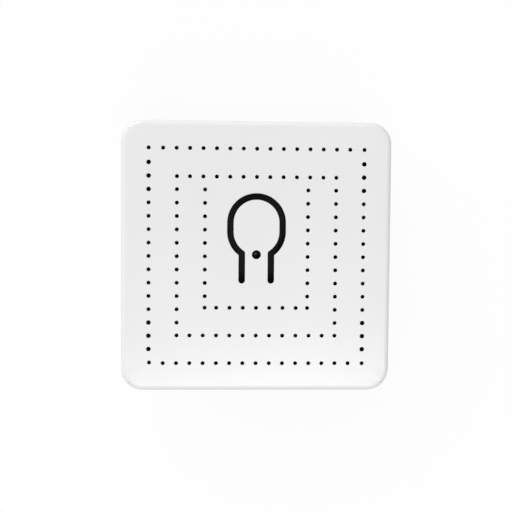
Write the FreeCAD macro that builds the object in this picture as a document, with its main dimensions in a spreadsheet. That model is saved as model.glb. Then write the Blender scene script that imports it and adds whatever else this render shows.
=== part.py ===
import FreeCAD, Part
import math
import os
import Sketcher

# A square in-wall relay module. Millimetres. The label face rests on Z = 0, the button face is up,
# and the wires enter through the wall at -Y. The origin is the middle of the label face.

SIZES = [
    # the case as a whole
    ("side", "39.2", "width and depth of the case"),
    ("tall", "18.0", "label face to button face"),
    ("corner", "3.2", "upright corner radius"),
    ("face_round", "0.8", "rounded edge round the button face"),
    ("back_round", "0.6", "rounded edge round the label face"),
    ("cover_tall", "4.0", "button face to the seam between the two case halves"),
    ("seam_bevel", "0.25", "bevel each side of the seam"),
    ("wall", "1.2", "side walls"),
    ("face_wall", "1.5", "wall behind the button face"),
    ("floor_wall", "1.5", "wall behind the label face"),
    # vent holes in the button face
    ("vent_pitch", "1.926", "spacing of the holes along a row"),
    ("vent_radius", "0.29", "plain vent hole"),
    ("vent_radius_wide", "0.335", "vent hole near the ends of the outer columns"),
    ("vent_ring", "15.55", "middle of the face to the outer row"),
    ("vent_ring_step", "4.05", "from one ring of holes to the next"),
    ("vent_slip", "0.1", "inward slip of the outer corner hole at the lower left"),
    # keyhole slot and push tab
    ("slot_width", "0.94", "width of the slot round the tab"),
    ("head_radius", "3.781", "round head, on the slot's centre line"),
    ("head_y", "3.584", "centre of the head's lower arc"),
    ("head_straight", "1.328", "straight sides of the head"),
    ("leg_half", "2.111", "half the spacing of the slot's two legs"),
    ("root_y", "-3.453", "where the tab grows out of the face"),
    ("root_gap", "0.04", "parting gap that stands for the flexing root"),
    ("tab_wall", "1.2", "thickness of the tab"),
    ("light_hole_radius", "0.65", "hole for the status light"),
    ("light_y", "0.274", "light hole above the middle of the face"),
    ("post_radius", "1.3", "post below the tab's head"),
    ("post_gap", "0.05", "post to switch plunger"),
    ("switch_y", "4.3", "post and push switch above the middle of the face"),
    # how the board is held
    ("board_wall", "1.2", "thickness of the main board"),
    ("board_room", "2.0", "board to the inside of the button face"),
    ("board_gap", "0.3", "board edge to case wall"),
    ("rib_depth", "1.2", "ribs that clamp the board"),
    ("rib_width", "2.0", "ribs that clamp the board"),
    ("rib_step", "13.0", "spacing of the ribs along the side walls"),
    ("rib_far_x", "9.0", "ribs on the far wall, from the middle"),
    # snap hooks
    ("hook_y", "7.0", "hooks each side of the middle"),
    ("hook_width", "4.0", "hook along the wall"),
    ("hook_wall", "1.0", "thickness of the hook"),
    ("hook_gap", "0.1", "hook to case wall and to its window"),
    ("hook_reach", "3.1", "hook tip below the seam"),
    ("catch_tall", "1.3", "height of the catch"),
    ("catch_depth", "0.7", "how far the catch stands out"),
    # label
    ("label_long", "31.0", "blank label along X"),
    ("label_wide", "22.0", "blank label along Y"),
    ("label_y", "5.6", "middle of the label"),
    ("label_corner", "1.0", "label corner radius"),
    ("label_sheet", "0.12", "label thickness"),
    ("label_recess", "0.2", "depth of the recess that holds it"),
    ("label_gap", "0.15", "label edge to recess"),
    # screw clamps
    ("poles", "5", "number of screw clamps"),
    ("clamp_end_gap", "1.4", "ends of the terminal housing to the case walls"),
    ("clamp_depth", "7.5", "terminal housing along Y"),
    ("clamp_front", "1.0", "housing wall that faces the wires"),
    ("clamp_floor", "0.8", "housing wall below the screw heads"),
    ("divider", "1.0", "wall between two clamps"),
    ("cell_gap", "0.1", "clamp cage to the cell round it"),
    ("cage_wall", "0.6", "side walls of the clamp cage"),
    ("cage_foot", "1.0", "threaded wall of the cage"),
    ("cage_head", "0.8", "wall of the cage that presses the wire"),
    ("cage_depth", "4.2", "clamp cage along Y"),
    ("cage_open", "4.3", "height of the open wire space"),
    ("cage_back_room", "1.3", "cell behind the cage"),
    ("cage_top_gap", "0.2", "open cage to board"),
    ("thread_radius", "1.5", "thread in the cage foot"),
    ("thread_gap", "0.05", "screw to thread"),
    ("screw_head_radius", "2.1", "screw head"),
    ("screw_head_tall", "1.6", "screw head"),
    ("screw_gap", "0.1", "screw head to housing and screw tip to tag"),
    ("screw_slot", "0.7", "slot in the screw head"),
    ("screw_slot_depth", "0.8", "slot in the screw head"),
    ("driver_radius", "1.8", "screwdriver hole"),
    ("driver_bevel", "0.3", "bevel at its mouth"),
    ("entry_corner", "0.6", "corner radius of a wire entry"),
    ("entry_gap", "0.2", "wire entry beyond the wire space on each side"),
    ("tag_wall", "0.8", "thickness of a terminal tag"),
    ("tag_side_gap", "0.4", "terminal tag to the sides of its cage"),
    ("tag_leg_wide", "1.6", "width of its leg in the board"),
    ("pin_stand", "0.5", "pins and legs beyond the board"),
    ("pin_gap", "0.12", "pin or leg to its hole"),
    # push switch and light
    ("switch_side", "4.4", "push switch body"),
    ("switch_body_tall", "1.05", "push switch body"),
    ("switch_frame_wall", "0.15", "metal frame over the body"),
    ("switch_well_radius", "1.55", "well that holds the dome"),
    ("switch_well_floor", "0.3", "below the well"),
    ("plunger_radius", "0.8", "plunger stem"),
    ("plunger_flange", "1.15", "plunger flange radius"),
    ("plunger_flange_wall", "0.2", "plunger flange"),
    ("plunger_gap", "0.08", "plunger to frame"),
    ("plunger_stand", "0.3", "plunger above the frame"),
    ("dome_wall", "0.08", "snap dome sheet"),
    ("dome_rise", "0.25", "snap dome height"),
    ("dome_gap", "0.1", "snap dome to well"),
    ("light_long", "1.6", "status light"),
    ("light_wide", "0.8", "status light"),
    ("light_tall", "0.6", "status light"),
    ("light_lens", "1.1", "lens of the status light"),
    ("light_base", "0.25", "status light base below its lens"),
    # relay
    ("relay_long", "20.4", "relay along X"),
    ("relay_wide", "13.2", "relay along Y"),
    ("relay_floor_gap", "1.4", "relay to the floor of the case"),
    ("relay_side_gap", "0.4", "relay to the ribs beside it"),
    ("relay_far_gap", "0.2", "relay to the ribs on the far wall"),
    ("relay_wall", "0.7", "relay case"),
    ("relay_base_wall", "1.2", "relay base plate"),
    ("relay_lip", "0.3", "relay base stands out of its case"),
    ("relay_gap", "0.05", "relay base to its case"),
    ("yoke_wall", "1.2", "relay yoke"),
    ("yoke_wide", "6.4", "relay yoke and armature along Y"),
    ("yoke_room", "0.6", "yoke to relay case"),
    ("coil_gap", "0.1", "coil to yoke"),
    ("coil_room", "1.0", "bobbin to relay base"),
    ("coil_rim", "0.3", "winding inside the edge of the bobbin"),
    ("winding_wall", "0.7", "winding round the bobbin tube"),
    ("tube_wall", "0.3", "bobbin tube"),
    ("bobbin_wall", "0.6", "bobbin flanges"),
    ("bobbin_half_wide", "3.5", "bobbin flange half width along Y"),
    ("core_gap", "0.05", "core to bobbin"),
    ("pole_rim", "0.5", "pole face inside the edge of the bobbin"),
    ("pole_wall", "0.7", "pole face"),
    ("armature_room", "2.3", "pole face to relay case"),
    ("armature_wall", "1.0", "armature plate"),
    ("armature_top_gap", "0.7", "armature to relay base"),
    ("armature_foot", "0.08", "armature to the end of the yoke"),
    ("armature_tilt", "3.4", "armature leans back when the coil is off, degrees"),
    ("blade_wall", "0.25", "contact blade"),
    ("blade_low", "2.2", "blade above the pivot"),
    ("blade_ear", "2.4", "blade beside the coil along Y"),
    ("contact_radius", "0.85", "silver contacts"),
    ("contact_wall", "0.45", "silver contacts"),
    ("contact_drop", "1.6", "contacts below the top of the armature"),
    ("contact_gap", "0.03", "contacts when closed"),
    ("hinge_leaf_wall", "0.15", "relay hinge spring"),
    ("hinge_leaf_long", "6.0", "relay hinge spring along the yoke"),
    ("hinge_leaf_up", "1.7", "relay hinge spring in front of the armature"),
    ("hinge_leaf_gap", "0.05", "relay hinge spring to armature"),
    ("coil_pin_radius", "0.35", "coil pins"),
    ("coil_pin_step", "5.0", "spacing of the coil pins"),
    ("terminal_pin_half", "0.5", "half the width of the relay's flat pins"),
    # power supply and driver, below the board
    ("bulk_long", "11.0", "bulk capacitor"),
    ("bulk_relay_gap", "1.3", "bulk capacitor to relay"),
    ("bulk_radio_gap", "1.1", "bulk capacitor to radio can"),
    ("bulk_end_gap", "2.0", "bulk capacitor to the far wall"),
    ("bulk_hang", "0.3", "bulk capacitor below the board"),
    ("lead_radius", "0.3", "wire leads"),
    ("lead_step", "2.5", "spacing of two leads"),
    ("output_radius", "3.15", "output capacitor"),
    ("output_long", "8.0", "output capacitor"),
    ("output_gap", "1.7", "output capacitor to terminal housing"),
    ("row_end_gap", "1.5", "varistor and output capacitor to the hooks"),
    ("can_round", "0.5", "capacitor can edges"),
    ("can_neck", "0.3", "groove round a capacitor can"),
    ("choke_radius", "2.9", "choke flanges"),
    ("choke_tall", "7.0", "choke"),
    ("choke_waist", "1.3", "choke core between its flanges"),
    ("choke_flange", "0.9", "choke flanges"),
    ("choke_wire", "0.25", "winding inside the flange edge"),
    ("fuse_radius", "1.7", "fuse resistor"),
    ("fuse_long", "8.5", "fuse resistor"),
    ("fuse_rib_gap", "1.25", "fuse resistor's lead to the rib beside it"),
    ("fuse_hang", "0.5", "fuse resistor below the board"),
    ("fuse_lead", "1.2", "lead beyond each end of the fuse resistor"),
    ("varistor_radius", "3.6", "varistor disc"),
    ("varistor_wall", "3.2", "varistor disc"),
    ("varistor_hang", "1.2", "varistor below the board"),
    ("bridge_long", "4.7", "bridge rectifier"),
    ("bridge_wide", "3.9", "bridge rectifier"),
    ("bridge_tall", "2.4", "bridge rectifier"),
    ("chip_long", "4.9", "supply chip"),
    ("chip_wide", "3.9", "supply chip"),
    ("chip_tall", "1.5", "supply chip"),
    ("chip_foot", "0.6", "legs of small parts beyond their bodies"),
    ("chip_foot_wall", "0.2", "legs of small parts"),
    # radio board, upright below the main board
    ("radio_long", "15.6", "radio board along Y"),
    ("radio_wall", "0.8", "radio board"),
    ("radio_floor_gap", "1.5", "radio board to the floor of the case"),
    ("radio_rib_gap", "0.5", "radio board to the ribs beside it"),
    ("radio_end_gap", "2.0", "radio board to the far wall"),
    ("can_long", "11.0", "radio can along Y"),
    ("can_margin", "0.95", "radio can inside the edges of its board"),
    ("can_deep", "1.9", "radio can"),
    ("can_wall", "0.2", "radio can sheet"),
    ("radio_chip_side", "5.0", "radio chip in the can"),
    ("radio_chip_tall", "0.85", "radio chip in the can"),
    # small parts above the board
    ("small_long", "1.6", "chip resistor or capacitor"),
    ("small_wide", "0.8", "chip resistor or capacitor"),
    ("resistor_tall", "0.5", "chip resistor"),
    ("capacitor_tall", "0.9", "chip capacitor"),
    ("small_step", "2.2", "spacing of the small parts"),
    ("small_row_x", "6.0", "rows of small parts from the middle"),
    ("small_row_y", "2.0", "first small part"),
    ("driver_long", "2.9", "driver transistor"),
    ("driver_wide", "1.4", "driver transistor"),
    ("driver_tall", "1.0", "driver transistor"),
    ("driver_x", "-9.0", "driver transistor"),
    ("driver_y", "11.0", "driver transistor"),
]

SHEET = "Sizes"


class Size:
    """A number together with the sheet expression that it comes from."""

    def __init__(self, number, text):
        self.number = number
        self.text = text

    def __add__(self, other):
        other = as_size(other)
        return Size(self.number + other.number, f"({self.text} + {other.text})")

    def __sub__(self, other):
        other = as_size(other)
        return Size(self.number - other.number, f"({self.text} - {other.text})")

    def __mul__(self, other):
        other = as_size(other)
        return Size(self.number * other.number, f"({self.text} * {other.text})")

    def __truediv__(self, other):
        other = as_size(other)
        return Size(self.number / other.number, f"({self.text} / {other.text})")

    def __neg__(self):
        return Size(-self.number, f"(-1 * {self.text})")

    def __radd__(self, other):
        return as_size(other) + self

    def __rsub__(self, other):
        return as_size(other) - self

    def __rmul__(self, other):
        return as_size(other) * self


def as_size(value):
    if isinstance(value, Size):
        return value
    return Size(float(value), f"({float(value):.6f})")


def sine_of(value):
    return Size(math.sin(math.radians(value.number)), f"sin({value.text})")


def root_of(value):
    return Size(math.sqrt(value.number), f"sqrt({value.text})")


def write_sheet(doc):
    sheet = doc.addObject("Spreadsheet::Sheet", SHEET)
    for row, (name, number, meaning) in enumerate(SIZES, start=1):
        sheet.set(f"A{row}", number)
        sheet.setAlias(f"A{row}", name)
        sheet.set(f"B{row}", meaning)
    doc.recompute()
    return {name: Size(float(sheet.get(name)), f"{SHEET}.{name}") for name, number, meaning in SIZES}


doc = FreeCAD.newDocument("relay_module")
size = write_sheet(doc)
pieces = []


# Drawing helpers

def bind(thing, what, value):
    """Ties one property to its sheet expression."""
    value = as_size(value)
    thing.setExpression(what, value.text)


def place(piece, x=0, y=0, z=0):
    bind(piece, "Placement.Base.x", x)
    bind(piece, "Placement.Base.y", y)
    bind(piece, "Placement.Base.z", z)


def keep(piece, label):
    """Names a finished sub-part and puts it on the list to be written."""
    piece.Label = label
    pieces.append(piece)
    return piece


def plain_body(name):
    return doc.addObject("PartDesign::Body", name)


def new_body(label):
    return keep(plain_body(label), label)


def origin_part(body, role):
    return next(part for part in body.Origin.OriginFeatures if part.Role == role)


def sketch_on(body, role, offset):
    """An empty sketch on one of the body's planes, moved along that plane's normal."""
    sketch = body.newObject("Sketcher::SketchObject", "outline")
    sketch.AttachmentSupport = [(origin_part(body, role), "")]
    sketch.MapMode = "FlatFace"
    bind(sketch, "AttachmentOffset.Base.z", offset)
    return sketch


def set_rules(sketch, rules):
    """Adds constraints, each tied to its sheet expression if it has a value."""
    first = sketch.ConstraintCount
    sketch.addConstraint([Sketcher.Constraint(*rule, *([] if value is None else [value.number]))
                          for rule, value in rules])
    for number, (rule, value) in enumerate(rules, start=first):
        if value is not None:
            bind(sketch, f"Constraints[{number}]", value)


def point_rules(shape, point, x, y):
    """Holds one point of a shape at x and y from the sketch's origin."""
    return [(("DistanceX", -1, 1, shape, point), x), (("DistanceY", -1, 1, shape, point), y)]


def line_to(x, y):
    return (as_size(x), as_size(y), None, None)


def arc_to(x, y, centre_x, centre_y):
    """An anticlockwise arc round its centre."""
    return (as_size(x), as_size(y), as_size(centre_x), as_size(centre_y))


def vector(x, y):
    return FreeCAD.Vector(x.number, y.number, 0)


def draw(sketch, *path):
    """A closed outline, run anticlockwise. The last step ends where the first one starts."""
    shapes = []
    for number, step in enumerate(path):
        start, end = vector(*path[number - 1][:2]), vector(*step[:2])
        if step[2] is None:
            shapes.append(Part.LineSegment(start, end))
            continue
        centre = vector(*step[2:])
        angles = [math.atan2(point.y - centre.y, point.x - centre.x) for point in (start, end)]
        circle = Part.Circle(centre, FreeCAD.Vector(0, 0, 1), (start - centre).Length)
        shapes.append(Part.ArcOfCircle(circle, *angles))
    first = sketch.GeometryCount
    sketch.addGeometry(shapes, False)
    rules = []
    for number, step in enumerate(path):
        following = first + (number + 1) % len(path)
        rules.append((("Coincident", first + number, 2, following, 1), None))
        rules += point_rules(first + number, 2, *step[:2])
        if step[2] is not None:
            before = path[number - 1]
            level = abs(before[0].number - step[0].number) > abs(before[1].number - step[1].number)
            centre_rule = point_rules(first + number, 3, *step[2:])
            rules.append(centre_rule[1] if level else centre_rule[0])
    set_rules(sketch, rules)


def draw_box(sketch, x, y):
    """A rectangle from its low and high x and its low and high y."""
    draw(sketch, line_to(x[1], y[0]), line_to(x[1], y[1]), line_to(x[0], y[1]), line_to(x[0], y[0]))


def draw_round_box(sketch, x, y, corner):
    x, y = [as_size(value) for value in x], [as_size(value) for value in y]
    left, right, low, high = x[0] + corner, x[1] - corner, y[0] + corner, y[1] - corner
    draw(
        sketch,
        line_to(right, y[0]),
        arc_to(x[1], low, right, low),
        line_to(x[1], high),
        arc_to(right, y[1], right, high),
        line_to(left, y[1]),
        arc_to(x[0], high, left, high),
        line_to(x[0], low),
        arc_to(left, y[0], left, low),
    )


def draw_circles(sketch, spots):
    """Circles from their centres and radii."""
    spots = [[as_size(value) for value in spot] for spot in spots]
    first = sketch.GeometryCount
    up = FreeCAD.Vector(0, 0, 1)
    sketch.addGeometry([Part.Circle(vector(x, y), up, radius.number) for x, y, radius in spots], False)
    rules = []
    for shape, (x, y, radius) in enumerate(spots, start=first):
        rules += point_rules(shape, 3, x, y)
        rules.append((("Radius", shape), radius))
    set_rules(sketch, rules)


def draw_circle(sketch, x, y, radius):
    draw_circles(sketch, [(x, y, radius)])


def pad(body, sketch, length):
    feature = body.newObject("PartDesign::Pad", "pad")
    feature.Profile = sketch
    bind(feature, "Length", length)
    return feature


def pocket(body, sketch, length):
    """Cuts from the sketch along its plane's normal, and makes sure that it cuts something."""
    doc.recompute()
    before = body.Shape.Volume
    feature = body.newObject("PartDesign::Pocket", "pocket")
    feature.Profile = sketch
    feature.Reversed = True
    bind(feature, "Length", length)
    doc.recompute()
    if not feature.Shape.Volume < before:
        raise ValueError(f"a pocket of {body.Label} cuts nothing")
    return feature


def repeat(body, feature, role, length, count):
    """Copies a cut along one of the body's axes. The length runs from the first copy to the last."""
    pattern = body.newObject("PartDesign::LinearPattern", "row")
    pattern.Originals = [feature]
    pattern.Direction = (origin_part(body, role), [""])
    bind(pattern, "Length", length)
    bind(pattern, "Occurrences", count)
    body.Tip = pattern
    doc.recompute()
    if not pattern.Shape.Volume < feature.Shape.Volume:
        raise ValueError(f"a row of {body.Label} cuts nothing more")
    return pattern


def turn(body, sketch, axis="V_Axis"):
    """Turns a sketch once round its own upright or level axis."""
    feature = body.newObject("PartDesign::Revolution", "turning")
    feature.Profile = sketch
    feature.ReferenceAxis = (sketch, [axis])
    feature.Angle = 360
    return feature


def edge_names(shape, test):
    """Names of the edges whose every vertex passes the test."""
    names = []
    for number, edge in enumerate(shape.Edges, start=1):
        if all(test(vertex.Point) for vertex in edge.Vertexes):
            names.append(f"Edge{number}")
    return names


def at(value, target):
    return abs(value - as_size(target).number) < 1e-6


def low_first(one, other):
    return sorted((one, other), key=lambda end: end.number)


def on_outline(point):
    """Whether a point lies on the upright outside of the case."""
    reach = half.number - size["corner"].number
    past = [max(abs(value) - reach, 0) for value in (point.x, point.y)]
    return at(math.hypot(*past), size["corner"])


def dress(body, kind, what, value, test):
    """A fillet or chamfer on the edges of the body so far that pass the test."""
    doc.recompute()
    base = body.Tip
    feature = body.newObject(f"PartDesign::{kind}", kind.lower())
    feature.Base = (base, edge_names(base.Shape, test))
    bind(feature, what, value)
    return feature


def round_edges(body, radius, test):
    return dress(body, "Fillet", "Radius", radius, test)


def bevel_edges(body, width, test):
    return dress(body, "Chamfer", "Size", width, test)


def box(name, x, y, z):
    """A plain box from its low and high x, y and z."""
    block = doc.addObject("Part::Box", name)
    for side, (low, high) in zip(("Length", "Width", "Height"), (x, y, z)):
        bind(block, side, as_size(high) - low)
    place(block, x[0], y[0], z[0])
    return block


def rod(name, x, y, z, radius, length, along="z"):
    """A round bar that starts at a point and runs along +X, +Y or +Z."""
    bar = doc.addObject("Part::Cylinder", name)
    bind(bar, "Radius", radius)
    bind(bar, "Height", length)
    turns = {
        "x": FreeCAD.Rotation(FreeCAD.Vector(0, 1, 0), 90),
        "y": FreeCAD.Rotation(FreeCAD.Vector(1, 0, 0), -90),
        "z": FreeCAD.Rotation(),
    }
    bar.Placement = FreeCAD.Placement(FreeCAD.Vector(), turns[along])
    place(bar, x, y, z)
    return bar


def join(name, *parts):
    """One solid from solids that overlap."""
    whole = doc.addObject("Part::MultiFuse", name)
    whole.Shapes = list(parts)
    return whole


def cut(name, blank, tools):
    """A solid less all its tools."""
    rest = doc.addObject("Part::Cut", name)
    holder = doc.addObject("Part::Compound", f"{name}_tools")
    holder.Links = tools
    rest.Base = blank
    rest.Tool = holder
    return rest


def group(label, parts):
    """Separate solids under one name."""
    whole = doc.addObject("Part::Compound", label)
    whole.Links = parts
    return keep(whole, label)


# Heights and places that several pieces share

half = size["side"] / 2
inner_half = half - size["wall"]
inner_corner = size["corner"] - size["wall"]
face_top = size["tall"]
face_inside = face_top - size["face_wall"]
seam = face_top - size["cover_tall"]
board_top = face_inside - size["board_room"]
board_low = board_top - size["board_wall"]
board_half = inner_half - size["board_gap"]
pin_top = board_top + size["pin_stand"]
tab_low = face_top - size["tab_wall"]
hook_outer = inner_half - size["hook_gap"]
hook_inner = hook_outer - size["hook_wall"]
hook_low = seam - size["hook_reach"]
hook_sides = [(side, way) for side in (-1, 1) for way in (-1, 1)]
rib_inner = inner_half - size["rib_depth"]
rib_half = size["rib_width"] / 2
rib_spots = [size["rib_step"] * step for step in (-1, 0, 1)]
far_rib_spots = [size["rib_far_x"] * step for step in (-1, 1)]

# Screw clamps: the wires enter at -Y, the screw heads face the label side
pole_count = int(size["poles"].number)
housing_half = inner_half - size["clamp_end_gap"]
pole_pitch = housing_half * 2 / size["poles"]
pole_x = [pole_pitch * (number - (pole_count - 1) / 2) for number in range(pole_count)]
clamp_front_y = -inner_half
clamp_back_y = clamp_front_y + size["clamp_depth"]
cell_front_y = clamp_front_y + size["clamp_front"]
cage_front_y = cell_front_y + size["cell_gap"] * 2
cage_back_y = cage_front_y + size["cage_depth"]
cell_back_y = cage_back_y + size["cage_back_room"]
screw_y = (cage_front_y + cage_back_y) / 2
cell_half = (pole_pitch - size["divider"]) / 2
cage_half = cell_half - size["cell_gap"]
wire_half = cage_half - size["cage_wall"]
tag_half = wire_half - size["tag_side_gap"]
cage_top = board_low - size["cage_top_gap"]
wire_top = cage_top - size["cage_head"]
wire_low = wire_top - size["cage_open"]
tag_low = wire_low - size["tag_wall"]
cage_foot_top = tag_low - size["screw_gap"]
cage_low = cage_foot_top - size["cage_foot"]
cell_low = size["floor_wall"] + size["clamp_floor"]
screw_low = cell_low + size["screw_gap"]


def repeat_poles(body, feature):
    return repeat(body, feature, "X_Axis", pole_x[-1] - pole_x[0], size["poles"])


def wire_entries(body, offset, depth):
    """Rounded square holes for the wires, cut towards -Y."""
    entry = sketch_on(body, "XZ_Plane", offset)
    draw_round_box(
        entry,
        (pole_x[0] - wire_half - size["entry_gap"], pole_x[0] + wire_half + size["entry_gap"]),
        (wire_low - size["entry_gap"], wire_top + size["entry_gap"]),
        size["entry_corner"],
    )
    return repeat_poles(body, pocket(body, entry, depth))


def driver_holes(body, height, depth):
    """Round holes for the screwdriver, cut upwards."""
    hole = sketch_on(body, "XY_Plane", height)
    draw_circle(hole, pole_x[0], screw_y, size["driver_radius"])
    return repeat_poles(body, pocket(body, hole, depth))


tag_leg_y = (cage_back_y + size["screw_gap"], cage_back_y + size["screw_gap"] + size["tag_wall"])


# Front cover: the moulded button face with its skirt, vent holes, keyhole slot, ribs and hooks

def keyhole_outline(spread):
    """The keyhole shape, spread out from (or drawn in from) the slot's centre line."""
    radius = size["head_radius"] + spread
    leg = size["leg_half"] + spread
    low, high = size["head_y"], size["head_y"] + size["head_straight"]
    neck_y = low - root_of(radius * radius - leg * leg)
    return (
        line_to(leg, neck_y),
        arc_to(radius, low, 0, low),
        line_to(radius, high),
        arc_to(-radius, high, 0, high),
        line_to(-radius, low),
        arc_to(-leg, neck_y, 0, low),
    )


def vent_spots():
    """Centre and radius of each vent hole. The innermost ring is open above the keyhole."""
    pitch, plain, wide = size["vent_pitch"], size["vent_radius"], size["vent_radius_wide"]
    rings = [size["vent_ring"] - size["vent_ring_step"] * number for number in range(3)]
    reach = [math.floor(ring.number / pitch.number - 0.5) for ring in rings]
    spots = []
    for number, (ring, ends) in enumerate(zip(rings, reach)):
        steps = range(-ends, ends + 1)
        innermost = ring is rings[-1]
        sides = (-1,) if innermost else (-1, 1)
        spots += [(pitch * step, ring * way, plain) for step in steps for way in sides]
        corner = size["vent_slip"] - ring if number == 0 else -ring
        spots += [(corner, corner, plain), (ring, -ring, plain)]
        spots += [] if innermost else [(-ring, ring, plain), (ring, ring, plain)]
        for step in range(-ends, (reach[1] if innermost else ends) + 1):
            radius = wide if number == 0 and abs(step) >= reach[1] else plain
            spots += [(ring * side, pitch * step, radius) for side in (-1, 1)]
    return spots


def cover_blank():
    """The cover before its vents are made."""
    body = plain_body("cover_blank")
    wall_middle = inner_half + size["wall"] / 2
    skirt = sketch_on(body, "XY_Plane", seam)
    draw_round_box(skirt, (-half, half), (-half, half), size["corner"])
    draw_round_box(skirt, (-inner_half, inner_half), (-inner_half, inner_half), inner_corner)
    pad(body, skirt, face_inside - seam)

    for side in (-1, 1):
        for y in rib_spots:
            rib = sketch_on(body, "XY_Plane", board_top)
            draw_box(rib, low_first(side * rib_inner, side * wall_middle), (y - rib_half, y + rib_half))
            pad(body, rib, face_inside - board_top)

    for side, way in hook_sides:
        middle = way * size["hook_y"]
        hook = sketch_on(body, "XZ_Plane", -(middle + size["hook_width"] / 2))
        tip = hook_outer + size["catch_depth"]
        corners = [
            (hook_inner, hook_low),
            (hook_outer, hook_low),
            (tip, hook_low + size["catch_tall"]),
            (hook_outer, hook_low + size["catch_tall"]),
            (hook_outer, seam + size["hook_gap"]),
            (wall_middle, seam + size["seam_bevel"] + size["hook_gap"]),
            (wall_middle, face_inside),
            (hook_inner, face_inside),
        ]
        points = [line_to(side * x, z) for x, z in corners]
        draw(hook, *(points if side > 0 else reversed(points)))
        pad(body, hook, size["hook_width"])

    face = sketch_on(body, "XY_Plane", face_inside)
    draw_round_box(face, (-half, half), (-half, half), size["corner"])
    wide = size["slot_width"] / 2
    leg = size["leg_half"]
    draw(
        face,
        line_to(leg - wide, size["root_y"]),
        arc_to(leg + wide, size["root_y"], leg, size["root_y"]),
        *keyhole_outline(wide),
        line_to(-leg - wide, size["root_y"]),
        arc_to(-leg + wide, size["root_y"], -leg, size["root_y"]),
    )
    pad(body, face, size["face_wall"])
    round_edges(body, size["face_round"], lambda p: at(p.z, face_top) and on_outline(p))
    bevel_edges(body, size["seam_bevel"], lambda p: at(p.z, seam) and on_outline(p))
    return body


def front_cover():
    low = face_inside - size["face_wall"]
    vents = [rod("vent", x, y, low, radius, size["face_wall"] * 3) for x, y, radius in vent_spots()]
    keep(cut("front_cover", cover_blank(), vents), "front_cover")


front_cover()


# Push tab: the tongue inside the slot, with the light hole and the post that meets the switch

def push_tab():
    body = new_body("push_tab")
    outline = sketch_on(body, "XY_Plane", tab_low)
    neck = size["leg_half"] - size["slot_width"] / 2
    start_y = size["root_y"] + size["root_gap"]
    draw(
        outline,
        line_to(neck, start_y),
        *keyhole_outline(-size["slot_width"] / 2),
        line_to(-neck, start_y),
    )
    pad(body, outline, size["tab_wall"])
    post = sketch_on(body, "XY_Plane", plunger_top + size["post_gap"])
    draw_circle(post, 0, size["switch_y"], size["post_radius"])
    pad(body, post, tab_low - plunger_top - size["post_gap"] + size["tab_wall"] / 2)
    light = sketch_on(body, "XY_Plane", tab_low)
    draw_circle(light, 0, size["light_y"], size["light_hole_radius"])
    pocket(body, light, size["tab_wall"])


switch_top = board_top + size["switch_body_tall"] + size["switch_frame_wall"]
plunger_top = switch_top + size["plunger_stand"]
push_tab()


# Base shell: the deep half of the case, with ribs, wire entries, screwdriver holes and label recess

def base_shell():
    body = new_body("base_shell")
    outline = sketch_on(body, "XY_Plane", 0)
    draw_round_box(outline, (-half, half), (-half, half), size["corner"])
    pad(body, outline, seam)
    round_edges(body, size["back_round"], lambda p: at(p.z, 0))
    bevel_edges(body, size["seam_bevel"], lambda p: at(p.z, seam))

    hollow = sketch_on(body, "XY_Plane", size["floor_wall"])
    draw_round_box(hollow, (-inner_half, inner_half), (-inner_half, inner_half), inner_corner)
    pocket(body, hollow, seam - size["floor_wall"])

    wall_middle = inner_half + size["wall"] / 2
    for side in (-1, 1):
        for y in rib_spots:
            rib = sketch_on(body, "XY_Plane", size["floor_wall"] / 2)
            draw_box(rib, low_first(side * rib_inner, side * wall_middle), (y - rib_half, y + rib_half))
            pad(body, rib, board_low - size["floor_wall"] / 2)
    for x in far_rib_spots:
        rib = sketch_on(body, "XY_Plane", size["floor_wall"] / 2)
        draw_box(rib, (x - rib_half, x + rib_half), (rib_inner, wall_middle))
        pad(body, rib, board_low - size["floor_wall"] / 2)

    for side, way in hook_sides:
        window = sketch_on(body, "YZ_Plane", side * wall_middle - size["wall"])
        middle = way * size["hook_y"]
        spread = size["hook_width"] / 2 + size["hook_gap"]
        low = hook_low - size["hook_gap"]
        high = low + size["catch_tall"] + size["hook_gap"] * 2
        draw_box(window, (middle - spread, middle + spread), (low, high))
        pocket(body, window, size["wall"] * 2)

    wire_entries(body, inner_half - size["wall"] / 2, size["wall"] * 2)
    driver_holes(body, 0, size["floor_wall"])
    reach = size["driver_radius"].number * 1.01
    bevel_edges(body, size["driver_bevel"], lambda p: at(p.z, 0) and abs(p.y - screw_y.number) < reach)

    recess = sketch_on(body, "XY_Plane", 0)
    wide = size["label_long"] / 2 + size["label_gap"]
    deep = size["label_wide"] / 2 + size["label_gap"]
    middle = size["label_y"]
    draw_round_box(recess, (-wide, wide), (middle - deep, middle + deep), size["label_corner"] + size["label_gap"])
    pocket(body, recess, size["label_recess"])


base_shell()


# Blank label in the recess of the label face

def back_label():
    body = new_body("back_label")
    sheet = sketch_on(body, "XY_Plane", size["label_recess"] - size["label_sheet"])
    wide, deep = size["label_long"] / 2, size["label_wide"] / 2
    middle = size["label_y"]
    draw_round_box(sheet, (-wide, wide), (middle - deep, middle + deep), size["label_corner"])
    pad(body, sheet, size["label_sheet"])


back_label()


# Terminal housing: one row of cells, each open to the board, with a wire entry and a screw hole

def terminal_housing():
    body = new_body("terminal_housing")
    outline = sketch_on(body, "XY_Plane", size["floor_wall"])
    draw_box(outline, (-housing_half, housing_half), (clamp_front_y, clamp_back_y))
    pad(body, outline, board_low - size["floor_wall"])
    bevel_edges(body, inner_corner / 2, lambda p: at(p.y, clamp_front_y) and at(abs(p.x), housing_half))

    cell = sketch_on(body, "XY_Plane", cell_low)
    draw_box(cell, (pole_x[0] - cell_half, pole_x[0] + cell_half), (cell_front_y, cell_back_y))
    repeat_poles(body, pocket(body, cell, board_low - cell_low))
    wire_entries(body, -cell_front_y, size["clamp_front"])
    driver_holes(body, size["floor_wall"], size["clamp_floor"])


terminal_housing()


# Clamp screws and the cages that rise on them

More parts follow.
